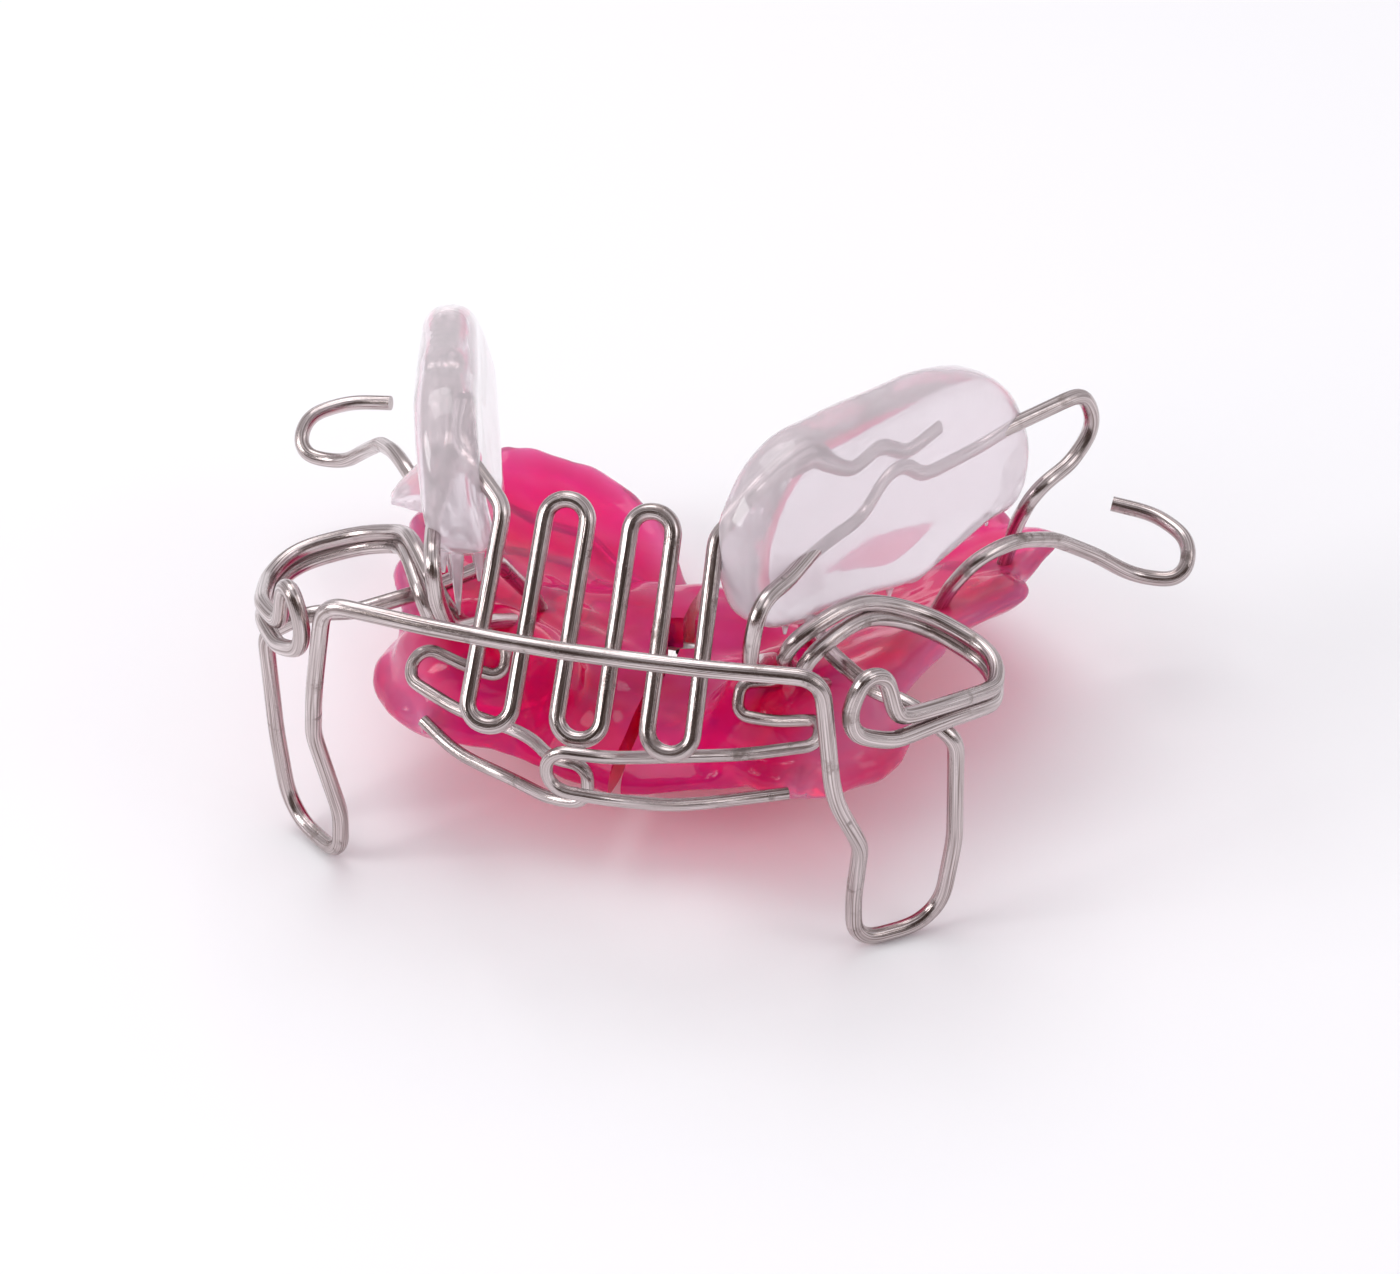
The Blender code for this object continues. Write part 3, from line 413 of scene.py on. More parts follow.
def vault(x, y):
    """Height of the middle of the plate's thickness over a place in plan."""
    drop = min(max((y + 2.0) / (PLATE_HEEL + 1.1 + 2.0), 0), 1)
    drop = eased_in(drop)
    return SCREW_VAULT + (HEEL_HEIGHT - SCREW_VAULT) * drop + VAULT_RISE * (abs(x) / 20.0) ** 1.7


def in_plate(x, y, radius):
    """A corner of a wire's buried end, half way through the plate."""
    return (x, y, vault(x, y), radius)


def bow_half(sign):
    """The bow from beside the midline, round the U loop, to its buried end."""
    foot = BOW_WIRE / 2
    kink = foot + (BOW_HEIGHT - foot) * (KINK_SHARE_RIGHT if sign > 0 else KINK_SHARE_LEFT)
    out = U_LOOP_OUTER
    knee = BUCCAL_SIDE - 1.3
    return side([
        (BOW_HALF_WIDTH * 0.55, BOW_FRONT + BOW_SWEEP * 0.35, BOW_HEIGHT, 30),
        (BOW_HALF_WIDTH, BOW_FRONT + BOW_SWEEP, BOW_HEIGHT, 1.3),
        (BOW_HALF_WIDTH + 0.8, BOW_FRONT + BOW_SWEEP, kink + 4.6, 6),
        (U_LOOP_INNER + 0.4, U_LOOP_FRONT - 1.8, kink, 3.0),
        (U_LOOP_INNER - 0.2, U_LOOP_FRONT, foot + 3.0, 3.0),
        (U_LOOP_INNER - 0.1, U_LOOP_FRONT, foot, 2.4),
        (out - 0.5, U_LOOP_BACK - 0.1, foot, 2.4),
        (out + 0.1, U_LOOP_BACK, foot + 5.5, 7),
        (knee, U_LOOP_BACK - 0.9, KNEE_HEIGHT, 1.2),
        (knee - 2.5, U_LOOP_BACK - 0.7, KNEE_HEIGHT + 1.7, 2.5),
        (out - 4.7, U_LOOP_BACK + 0.3, KNEE_HEIGHT + 1.5, 2),
        (out - 7.7, U_LOOP_BACK + 3.2, KNEE_HEIGHT + 1.5, 3),
        (out - 10.2, U_LOOP_BACK + 8.4, KNEE_HEIGHT + 0.6, 1.3),
        (out - 10.9, SCREW_BACK - 2.8, vault(8, 1) + 2.4, 2.0),
        in_plate(8.1, SCREW_BACK - 0.3, 1.2),
        in_plate(9.0, SCREW_BACK + 2.0, 1.2),
        in_plate(8.1, SCREW_BACK + 4.3, 1.2),
    ], sign)


bow_corners = list(reversed(bow_half(-1))) + [(0, BOW_FRONT, BOW_HEIGHT, 60)] + bow_half(1)
bow = steel_wire("labial_bow_wire", bow_corners, BOW_WIRE, "labial_bow", 5)
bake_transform(bow)

# Buccal loops: one wire a side, folded double round the outer side and bent to a hook at the front.
# Spring-hard steel, 0.9 mm; both ends are cast into the mound at the plate's front corner.
BUCCAL_WIRE, HOOK_TOP, STRAND_DROP = 0.9, 20.0, 1.0


def buccal_strand(crossing, drop):
    """The round of the loop, from its crossing over the bow to the hook."""
    return [
        (crossing + 0.3 * drop, -8.4 + 0.1 * drop, 17.5 - drop, 2.6),
        (crossing + 1.6 + 0.2 * drop, -5.8 + 0.2 * drop, 16.0 - drop, 2.6),
        (16.2, -4.9 + 0.2 * drop, 14.9 - drop, 2.2),
        (BUCCAL_SIDE - 0.4, -6.0, 13.9 - drop, 2.2),
        (BUCCAL_SIDE, -8.8, 13.7 - drop, 1.8),
        (BUCCAL_SIDE - 2.0, -15.0, 16.3 - drop, 5),
        (BUCCAL_SIDE - 3.8, -16.9 - 0.5 * drop, 16.5 - drop, 1.0),
    ]


for sign, hand, crossing in ((1, "right", 12.3), (-1, "left", 11.95)):
    loop = [(9.7, -5.4, 10.0, 1.2), (9.4, -8.8, 12.9, 1.2), (9.0, -12.4, 16.3, 1.8)]
    loop += buccal_strand(crossing, 0)
    loop += [
        (BUCCAL_SIDE - 4.3, -17.4, HOOK_TOP - 0.6, 1.0),
        (BUCCAL_SIDE - 5.2, -18.5, HOOK_TOP, 1.2),
        (BUCCAL_SIDE - 5.9, -19.0, HOOK_TOP - 2.1, 1.4),
        (BUCCAL_SIDE - 5.6, -18.9, HOOK_TOP - 3.5, 1.2),
    ]
    loop += list(reversed(buccal_strand(crossing, STRAND_DROP)))
    loop += [(9.9, -12.2, 15.2, 1.8), (10.5, -8.7, 12.0, 1.2), (11.0, -5.0, 9.8, 1.2)]
    piece = steel_wire("buccal_wire_" + hand, side(loop, sign), BUCCAL_WIRE, "buccal_loop_" + hand, 20)
    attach(piece, hand + "_half")

# Protrusion springs: one 0.7 mm spring-hard steel wire a side, cast into the mound at the plate's corner.
# Each runs through a small U and an outer bend to a long hairpin; the right hairpin passes in front.
SPRING_WIRE, SPRING_FRONT, SPRING_TOP, SPRING_SIDE, HAIRPIN_HEIGHT = 0.7, -19.4, 13.1, 11.3, 2.5
for sign, hand, behind, lower, past, higher in (
    (1, "right", 0, 0, -1.3, 0),
    (-1, "left", 1.5, 1.7, -0.5, 0.9),
):
    front = SPRING_FRONT + behind
    top = SPRING_TOP - lower
    low = top - HAIRPIN_HEIGHT
    spring = side([
        (8.9, -5.0, 9.0, 1.2),
        (8.2, -8.1, 11.5, 1.0),
        (6.5, -9.0, 11.7, 0.7),
        (6.5, -9.9, 10.2, 0.7),
        (8.7, -10.1, 10.3 + 0.6 * higher, 3),
        (SPRING_SIDE - 0.6 * higher, -10.7, 11.3 + higher, 1.1),
        (SPRING_SIDE + 0.1, -11.9, 10.5 + 0.3 * higher, 1.1),
        (7.8, -13.9, SPRING_TOP - 2.5, 10),
        (3.4, front + 2.5, SPRING_TOP - 1.4 - 0.5 * lower, 6),
        (1.5, front + 0.1, top - 0.1, 3),
        (past, front, top, HAIRPIN_HEIGHT / 2),
        (past, front, low, HAIRPIN_HEIGHT / 2),
        (1.5, front + 0.1, low - 0.2, 4),
        (4.8, front + 2.8, low - 2.0 + 0.45 * lower, 12),
        (7.8, -14.3, SPRING_TOP - 5.1, 10),
        (10.1, -13.0, SPRING_TOP - 5.2 + 0.6 * lower, 1),
    ], sign)
    piece = steel_wire("spring_wire_" + hand, spring, SPRING_WIRE, "protrusion_spring_" + hand, 4)
    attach(piece, hand + "_half")

# Molar clasps: a free arm of 0.9 mm spring-hard wire each side, curled round at its tip to grip.
# Each comes over the plate's margin and ends in a wave that is cast into the acrylic.
CLASP_WIRE, CLASP_SIDE, CLASP_BACK = 0.9, 27.45, 18.8
for sign, hand in ((1, "right"), (-1, "left")):
    arm = side([
        (CLASP_SIDE - 5.0, CLASP_BACK, 8.9, 1),
        (CLASP_SIDE - 2.4, CLASP_BACK, 8.6, 2.5),
        (CLASP_SIDE, CLASP_BACK - 1.7, 8.2, 1.8),
        (CLASP_SIDE, CLASP_BACK - 3.4, 6.4, 1.4),
        (CLASP_SIDE - 2.9, CLASP_BACK - 3.4, 6.2, 2.5),
        (CLASP_SIDE - 5.1, CLASP_BACK - 5.4, 8.6, 4),
        (20.2, 10.4, 11.2, 5),
        (18.3, 7.6, 12.5, 3),
        (16.5, 5.4, 12.2, 1.6),
        (15.2, 5.3, 10.2, 1.4),
        in_plate(13.8, 6.7, 1.6),
        in_plate(12.2, 9.6, 2),
        in_plate(9.0, 12.0, 2),
        in_plate(5.6, 10.4, 1),
    ], sign)
    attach(steel_wire("clasp_wire_" + hand, arm, CLASP_WIRE, "molar_clasp_" + hand), hand + "_half")

# Connecting wires: 0.9 mm steel from the plate's front corner up through the side wing, waved inside it,
# round an open loop behind the wing and down into the plate's rear lobe.
CONNECTOR_WIRE, WING_FRONT, WING_FOOT, WING_BACK = 0.9, -11.5, 12.7, 11.9
wing_lines = {1: (7.2, math.radians(22.8), 0.0), -1: (7.62, math.radians(17), math.tan(math.radians(5.5)))}


def in_wing(sign, y, z, off, radius):
    """A corner of a wire inside a wing, set off outwards from the middle of the wing's thickness."""
    out, angle, lean = wing_lines[sign]
    middle = out + math.tan(angle) * (y - WING_FRONT) + lean * (z - WING_FOOT)
    return (middle + off / math.cos(angle), y, z, radius)


for sign, hand, flare, back, closer in ((1, "right", 3.3, 0, 0), (-1, "left", 0.5, 3.4, 0.4)):
    out = wing_lines[sign][0] - closer
    heel = WING_BACK + 0.5 + 0.4 * back
    reach = in_wing(sign, heel, WING_FOOT, 0, 0)[0]
    connector = side([
        (7.4, -5.2, 10.8, 1.2),
        (7.5, -9.0, 13.2, 1.4),
        (8.1, -13.8, 15.6, 2.6),
        (8.4, -15.2, 18.4, 2.6),
        (out + 1.5, -14.7, 20.8, 2.0),
        (out + 2.3, -11.8, 20.5, 3),
        in_wing(sign, -6.4, 19.9, 0.8, 3),
        in_wing(sign, -3.2, 19.7, 0.6, 2.2),
        in_wing(sign, -1.6, 21.3, 0.6, 2.2),
        in_wing(sign, 0.2, 21.2, 0.6, 2.2),
        in_wing(sign, 1.9, 19.5, 0.6, 2.2),
        in_wing(sign, 7.0, 18.7, 0.6, 3),
        in_wing(sign, WING_BACK + 1.3, 19.4, flare * 0.92, 1.2),
        in_wing(sign, WING_BACK + 2.1, 17.0, flare * 1.06, 2.0),
        in_wing(sign, WING_BACK + 0.3 + 0.4 * back, 15.2, flare * 0.95, 2.0),
        in_wing(sign, WING_BACK - 2.3 + back, 14.8, flare * 0.84, 2.0),
        in_wing(sign, WING_BACK - 1.5 + 0.9 * back, 11.9, flare * 0.45, 2.0),
        in_plate(reach - 0.3, heel, 1.6),
        in_plate(reach - 4.0, 14.6, 2.0),
        in_plate(9.4, 15.6, 2.0),
        in_plate(6.2, 13.6, 1.6),
        in_plate(4.0, 13.0, 1.0),
    ], sign)
    piece = steel_wire("connector_wire_" + hand, connector, CONNECTOR_WIRE, "connecting_wire_" + hand)
    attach(piece, hand + "_half")

# Tongue crib: one 0.9 mm spring-hard steel wire, bent in a zigzag fence across the midline.
# Both ends are waved and cast into the wings; the real wire springs open when the halves part, here it is one
# fixed piece tied to neither half.
CRIB_WIRE, CRIB_PITCH, CRIB_FRONT, CRIB_FOOT = 0.9, 2.42, -18.2, 13.1
CRIB_BACK, CRIB_UP, TOP_SHARE, INTO_WING_SHARE = 7.0, 10.0, 0.94, 0.93
half_pitch = CRIB_PITCH / 2
crib_half = []
for x, high in ((1, 0), (1, 1), (3, 1), (3, 0), (5, 0)):
    bend = half_pitch * (TOP_SHARE if high else 1)
    crib_half.append((x * bend, CRIB_FRONT + high * CRIB_BACK, CRIB_FOOT + high * CRIB_UP, bend * 0.97))
into_wing = (CRIB_FRONT + INTO_WING_SHARE * CRIB_BACK, CRIB_FOOT + INTO_WING_SHARE * CRIB_UP)
crib_half.append((5 * half_pitch * TOP_SHARE, *into_wing, 1.4))
crib_ends = {}
for sign in (1, -1):
    crib_ends[sign] = side([
        in_wing(sign, -9.4, 24.3, -0.6, 1.6),
        in_wing(sign, -6.2, 24.6, -0.6, 1.6),
        in_wing(sign, -3.0, 22.4, -0.6, 2.2),
        in_wing(sign, -0.6, 22.7, -0.6, 2.2),
        in_wing(sign, 1.8, 21.0, -0.6, 2.2),
        in_wing(sign, 4.6, 21.2, -0.6, 1.2),
    ], sign)
crib_corners = list(reversed(side(crib_half, -1) + crib_ends[-1])) + crib_half + crib_ends[1]
crib = steel_wire("crib_wire", crib_corners, CRIB_WIRE, "tongue_crib", 2)
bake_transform(crib)

# Palatal plate: magenta acrylic, laid up over the screw and the wires' ends, ground and polished,
# then sawn in two. Thin over most of its vault, swollen over the screw and at its front corners.
PLATE_FRONT, PLATE_BACK, SAW_CUT = -11.2, 20.75, 0.7
PLATE_THICKNESS, SKIN_GRAIN, KEY_WINDOW_RADIUS = 2.4, 0.24, 1.8
BOSS_RADII = (12.0, 8.2, 2.6)
MOUND_SIDE, MOUND_BACK, MOUND_HEIGHT, MOUND_RADII = 9.2, -6.1, 7.9, (4.7, 4.2, 3.8)
SKIRT_SIDE, SKIRT_BACK, SKIRT_HEIGHT, SKIRT_RADII = 9.4, -5.2, 6.7, (6.0, 6.0, 2.1)
# The first three set the painted glow: pale pink painted near the rim, standing in for light through the thin
# edge.
RIM_GLOW_REACH, RIM_GLOW_WIDTH, RIM_GLOW_MOST, OUTSIDE = 2.7, 2.2, 0.85, 40
PAST_MIDDLE, EDGE_FULLNESS, EDGE_REACH, EDGE_PACE_ALONG, EDGE_PACE_ACROSS = -0.6, 0.4, 2.0, 18, 13
magenta = bpy.data.materials.new("magenta_acrylic")
magenta.use_nodes = True
net = magenta.node_tree
shader = net.nodes["Principled BSDF"]
shader.inputs["Roughness"].default_value = 0.08
shader.inputs["IOR"].default_value = 1.34
shader.inputs["Specular IOR Level"].default_value = 0.4
shader.inputs["Transmission Weight"].default_value = 0.60
spot = net.nodes.new("ShaderNodeTexCoord")
cloud = net.nodes.new("ShaderNodeTexNoise")
cloud.inputs["Scale"].default_value = 160.0
cloud.inputs["Detail"].default_value = 3.0
net.links.new(spot.outputs["Object"], cloud.inputs["Vector"])
dye = net.nodes.new("ShaderNodeValToRGB")
dye.color_ramp.elements[0].position = 0.35
dye.color_ramp.elements[0].color = (0.94, 0.006, 0.19, 1)
dye.color_ramp.elements[1].position = 0.65
dye.color_ramp.elements[1].color = (1.0, 0.028, 0.34, 1)
net.links.new(cloud.outputs["Fac"], dye.inputs["Fac"])
# Painted glow: the base colour turns pale pink in a band along the rear rim and outer margin, standing in for
# light shining through the thin edge.
painted_rim_glow = net.nodes.new("ShaderNodeAttribute")
painted_rim_glow.attribute_name = "painted_rim_glow"
rim_glow_mix = net.nodes.new("ShaderNodeMix")
rim_glow_mix.data_type = "RGBA"
rim_glow_mix.inputs["B"].default_value = (1.0, 0.31, 0.66, 1)
net.links.new(painted_rim_glow.outputs["Fac"], rim_glow_mix.inputs["Factor"])
net.links.new(dye.outputs["Color"], rim_glow_mix.inputs["A"])
net.links.new(rim_glow_mix.outputs["Result"], shader.inputs["Base Color"])
ripple = net.nodes.new("ShaderNodeTexNoise")
ripple.inputs["Scale"].default_value = 420.0
ripple.inputs["Detail"].default_value = 4.0
net.links.new(spot.outputs["Object"], ripple.inputs["Vector"])
relief = net.nodes.new("ShaderNodeBump")
relief.inputs["Strength"].default_value = 0.16
relief.inputs["Distance"].default_value = 0.0002
net.links.new(ripple.outputs["Fac"], relief.inputs["Height"])
net.links.new(relief.outputs["Normal"], shader.inputs["Normal"])
depth = net.nodes.new("ShaderNodeVolumeAbsorption")
depth.inputs["Color"].default_value = (0.985, 0.05, 0.45, 1)
depth.inputs["Density"].default_value = 520.0
net.links.new(depth.outputs["Volume"], net.nodes["Material Output"].inputs["Volume"])


def smooth_through(spots, shares):
    """Points on an even curve through the spots, at the given shares of its length."""
    dense = []
    for k in range(len(spots) - 1):
        before = Vector(spots[max(k - 1, 0)])
        start = Vector(spots[k])
        end = Vector(spots[k + 1])
        after = Vector(spots[min(k + 2, len(spots) - 1)])
        for step in range(16):
            t = step / 16
            first = 2 * start + (end - before) * t
            second = (2 * before - 5 * start + 4 * end - after) * t * t
            third = (3 * start - before - 3 * end + after) * t * t * t
            dense.append((first + second + third) / 2)
    dense.append(Vector(spots[-1]))
    lengths = [0.0]
    for a, b in zip(dense, dense[1:]):
        lengths.append(lengths[-1] + (b - a).length)
    found = []
    for share in shares:
        goal = share * lengths[-1]
        k = 0
        while k < len(dense) - 2 and lengths[k + 1] < goal:
            k += 1
        t = (goal - lengths[k]) / (lengths[k + 1] - lengths[k])
        found.append(dense[k].lerp(dense[k + 1], t))
    return found


def ball_into(cage, place, radii):
    """Adds a stretched ball to a mesh in the making."""
    fresh = bmesh.ops.create_uvsphere(cage, u_segments=32, v_segments=20, radius=1)["verts"]
    bmesh.ops.scale(cage, verts=fresh, vec=Vector(radii) * MM)
    bmesh.ops.translate(cage, verts=fresh, vec=Vector(place) * MM)


def cutting_block(name, low, high):
    """A box that only cuts, and is removed afterwards."""
    low, high = Vector(low), Vector(high)
    cage = bmesh.new()
    bmesh.ops.create_cube(cage, size=1)
    bmesh.ops.scale(cage, verts=cage.verts, vec=(high - low) * MM)
    bmesh.ops.translate(cage, verts=cage.verts, vec=(low + high) / 2 * MM)
    mesh = bpy.data.meshes.new(name)
    cage.to_mesh(mesh)
    cage.free()
    block = bpy.data.objects.new(name, mesh)
    bpy.context.scene.collection.objects.link(block)
    return block


def settled(obj):
    """Works an object's modifiers into its mesh."""
    bpy.context.view_layer.update()
    made = bpy.data.meshes.new_from_object(obj.evaluated_get(bpy.context.evaluated_depsgraph_get()))
    obj.modifiers.clear()
    obj.data = made


def flowed_skin(obj, rounds):
    """Gives overlapping shells one even skin, softened as cured acrylic is."""
    skin = obj.modifiers.new("one_skin", "REMESH")
    skin.mode = "VOXEL"
    skin.voxel_size = SKIN_GRAIN * MM
    flow = obj.modifiers.new("flowed", "SMOOTH")
    flow.factor = 0.5
    flow.iterations = rounds


hand_worked = bpy.data.textures.new("hand_worked_surface", "CLOUDS")
hand_worked.noise_scale = 3.2 * MM
hand_worked.noise_depth = 1

ROWS, COLUMNS = 48, 36
REAR_LOBE_RISE, RIM_BEAD = 0.6, 1.15
for sign, hand in ((1, "right"), (-1, "left")):
    across_shares = [k / COLUMNS for k in range(COLUMNS + 1)]
    along_shares = [k / ROWS for k in range(ROWS + 1)]
    front = smooth_through([(PAST_MIDDLE, PLATE_FRONT), (5.5, PLATE_FRONT + 0.9), (8.6, PLATE_FRONT + 0.9),
                            (10.5, PLATE_FRONT - 1.0)], across_shares)
    trim = 0 if sign > 0 else 1
    tip = (20.3 - 1.7 * trim, 14.3 + 0.4 * trim)
    margin = smooth_through([(10.5, PLATE_FRONT - 1.0), (11.6, -9.8), (13.0, -7.6), (14.7, -3.2), (15.9, 0.2),
                             (15.6, 3.2), (17.0 - 0.5 * trim, 5.2), (19.4 - 2.0 * trim, 7.0),
                             (18.6 - 1.4 * trim, 9.6), (18.9 - 1.5 * trim, 12.0), tip], along_shares)
    rear = smooth_through([(PAST_MIDDLE, PLATE_HEEL), (2.7, PLATE_HEEL + 2.8), (5.5, PLATE_BACK - 1.7),
                           (9.2, PLATE_BACK), (13.0, PLATE_BACK - 0.8), (16.8 - 0.9 * trim, PLATE_BACK - 3.4),
                           tip], across_shares)
    saw = [Vector((PAST_MIDDLE, PLATE_FRONT + (PLATE_HEEL - PLATE_FRONT) * v)) for v in along_shares]
    cage = bmesh.new()
    fullness = cage.verts.layers.deform.verify()
    rows = []
    for j, v in enumerate(along_shares):
        row = []
        for i, u in enumerate(across_shares):
            edges = front[i] * (1 - v) + rear[i] * v + saw[j] * (1 - u) + margin[j] * u
            corners = (front[0] * (1 - u) + front[-1] * u) * (1 - v) + (rear[0] * (1 - u) + rear[-1] * u) * v
            spot_2d = edges - corners
            to_rear = min(max((spot_2d.y + 1.0) / 15.0, 0), 1)
            to_side = min(max((spot_2d.x - 3.5) / 6.0, 0), 1)
            lobe = REAR_LOBE_RISE * eased_in(to_rear) * eased_in(to_side)
            height = vault(spot_2d.x, spot_2d.y) + lobe
            vert = cage.verts.new((sign * spot_2d.x * MM, spot_2d.y * MM, height * MM))
            rim = min(j / ROWS * EDGE_PACE_ALONG, (ROWS - j) / ROWS * EDGE_PACE_ALONG,
                      (COLUMNS - i) / COLUMNS * EDGE_PACE_ACROSS)
            swelling = math.sin(min(rim, EDGE_REACH) / EDGE_REACH * math.pi / 2)
            vert[fullness][0] = min(1.0, EDGE_FULLNESS + (1 - EDGE_FULLNESS) * swelling)
            row.append(vert)
        rows.append(row)
    for low_row, high_row in zip(rows, rows[1:]):
        for k in range(COLUMNS):
            face = [low_row[k], low_row[k + 1], high_row[k + 1], high_row[k]]
            cage.faces.new(face if sign > 0 else list(reversed(face)))
    mesh = bpy.data.meshes.new("plate_half_" + hand)
    cage.to_mesh(mesh)
    cage.free()
    plate = bpy.data.objects.new("plate_half_" + hand, mesh)
    plate.vertex_groups.new(name="fullness")
    bpy.context.scene.collection.objects.link(plate)
    wall = plate.modifiers.new("thickness", "SOLIDIFY")
    wall.thickness = PLATE_THICKNESS * MM
    wall.offset = 0
    wall.vertex_group = "fullness"
    settled(plate)
    cage = bmesh.new()
    cage.from_mesh(plate.data)
    # The bead along the rear edge leaves off before the saw cut and before the corner.
    for spot_2d in rear[4:-8]:
        swell = min(max((spot_2d.x - 1.5) / 6.0, 0), 1)
        height = vault(spot_2d.x, spot_2d.y) + (REAR_LOBE_RISE + 0.6) * swell
        girth = RIM_BEAD * (0.75 + 0.25 * swell)
        ball_into(cage, (sign * spot_2d.x, spot_2d.y - 0.9, height), (girth, girth, girth))
    ball_into(cage, (0, SCREW_BACK, SCREW_HEIGHT), BOSS_RADII)
    ball_into(cage, (sign * MOUND_SIDE, MOUND_BACK, MOUND_HEIGHT), MOUND_RADII)
    ball_into(cage, (sign * SKIRT_SIDE, SKIRT_BACK, SKIRT_HEIGHT), SKIRT_RADII)
    cage.to_mesh(plate.data)
    cage.free()
    flowed_skin(plate, 34)
    uneven = plate.modifiers.new("uneven", "DISPLACE")
    uneven.texture = hand_worked
    uneven.texture_coords = "LOCAL"
    uneven.strength = 0.55 * MM
    uneven.mid_level = 0.5
    settled(plate)
    blade_sides = sorted((-sign * OUTSIDE, sign * SAW_CUT / 2))
    blade = cutting_block("saw_blade_" + hand, (blade_sides[0], -OUTSIDE, -OUTSIDE),
                          (blade_sides[1], OUTSIDE, OUTSIDE))
    bench = cutting_block("bench_" + hand, (-OUTSIDE, -OUTSIDE, -OUTSIDE / 2), (OUTSIDE, OUTSIDE, 0))
    cage = bmesh.new()
    bmesh.ops.create_cone(cage, cap_ends=True, segments=48, radius1=KEY_WINDOW_RADIUS * MM,
                          radius2=KEY_WINDOW_RADIUS * MM, depth=0.03)
    bmesh.ops.translate(cage, verts=cage.verts, vec=Vector((0, SCREW_BACK, SCREW_HEIGHT)) * MM)
    drill_mesh = bpy.data.meshes.new("key_drill")
    cage.to_mesh(drill_mesh)
    cage.free()
    drill = bpy.data.objects.new("key_drill_" + hand, drill_mesh)
    bpy.context.scene.collection.objects.link(drill)
    for tool in (blade, bench, drill):
        cut = plate.modifiers.new("cut", "BOOLEAN")
        cut.operation = "DIFFERENCE"
        cut.solver = "MANIFOLD"
        cut.object = tool
    settled(plate)
    for tool in (blade, bench, drill):
        bpy.data.objects.remove(tool, do_unlink=True)
    rim_line = KDTree(len(rear) + len(margin))
    for k, spot_2d in enumerate(rear + margin):
        rim_line.insert((sign * spot_2d.x, spot_2d.y, 0), k)
    rim_line.balance()
    # Painted glow: the nearer a point lies to the rim line, the more pale pink is painted into its colour,
    # for light through the thin edge.
    painted_glow_share = plate.data.attributes.new("painted_rim_glow", "FLOAT", "POINT")
    for vert in plate.data.vertices:
        inward = rim_line.find((vert.co.x / MM, vert.co.y / MM, 0))[2]
        painted_glow_share.data[vert.index].value = RIM_GLOW_MOST * min(max((RIM_GLOW_REACH - inward) / RIM_GLOW_WIDTH, 0), 1) ** 1.8
    plate.data.shade_smooth()
    plate.data.set_sharp_from_angle(angle=math.radians(45))
    plate.data.materials.clear()
    plate.data.materials.append(magenta)
    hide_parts("plate_" + hand)
    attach(plate, hand + "_half")

# Side wings: thick slabs of clear, slightly milky acrylic, built up by hand round the wires and polished.
# Their lower edges are left as they broke and ran, with drips and spurs where the wires come out.
WING_THICKNESS, WING_EDGE, WING_TOP, LEFT_WING_TALLER = 3.3, 1.3, 26.6, 0.3
clear = bpy.data.materials.new("clear_acrylic")
clear.use_nodes = True
net = clear.node_tree
shader = net.nodes["Principled BSDF"]
shader.inputs["Base Color"].default_value = (1.0, 0.93, 0.975, 1)
shader.inputs["IOR"].default_value = 1.22
shader.inputs["Transmission Weight"].default_value = 0.62
shader.inputs["Coat Weight"].default_value = 0.6
shader.inputs["Coat Roughness"].default_value = 0.04
spot = net.nodes.new("ShaderNodeTexCoord")
haze = net.nodes.new("ShaderNodeTexNoise")
haze.inputs["Scale"].default_value = 240.0
haze.inputs["Detail"].default_value = 4.0
net.links.new(spot.outputs["Object"], haze.inputs["Vector"])
frost = net.nodes.new("ShaderNodeMapRange")
frost.inputs["From Min"].default_value = 0.35
frost.inputs["From Max"].default_value = 0.70
frost.inputs["To Min"].default_value = 0.03
frost.inputs["To Max"].default_value = 0.10
net.links.new(haze.outputs["Fac"], frost.inputs["Value"])
net.links.new(frost.outputs["Result"], shader.inputs["Roughness"])
relief = net.nodes.new("ShaderNodeBump")
relief.inputs["Strength"].default_value = 0.15
relief.inputs["Distance"].default_value = 0.0002
net.links.new(haze.outputs["Fac"], relief.inputs["Height"])
net.links.new(relief.outputs["Normal"], shader.inputs["Normal"])

outlines = {
    1: [(-11.0, 17.0), (-12.3, 19.6), (-12.7, 22.0), (-11.6, 24.8), (-9.0, 26.6), (-5.0, 26.4), (0.0, 25.5),
        (4.6, 24.5), (8.7, 22.4), (11.5, 18.9), (12.4, 15.2), (11.3, 12.9), (8.4, 12.9), (5.0, 12.7),
        (1.8, 12.7), (-2.0, 13.9), (-6.2, 15.2)],
    -1: [(-11.0, 18.4), (-12.4, 20.0), (-12.7, 22.0), (-11.6, 24.8), (-9.0, 26.6), (-5.0, 26.4), (0.0, 25.4),
         (4.4, 24.3), (8.2, 22.0), (10.9, 18.8), (11.9, 15.7), (10.8, 13.7), (7.8, 13.3), (4.6, 12.8),
         (1.8, 12.9), (-2.2, 14.7), (-6.6, 16.6)],
}
drips = {
    1: ((-7.0, 15.9, 0, (1.1, 1.5, 1.0)), (3.0, 13.0, 0, (1.1, 2.0, 0.8)), (8.9, 14.0, 0.3, (1.0, 0.8, 1.7))),
    -1: ((6.0, 13.0, 0, (1.2, 1.8, 1.1)), (10.4, 13.3, 0, (1.1, 1.0, 1.9))),
}
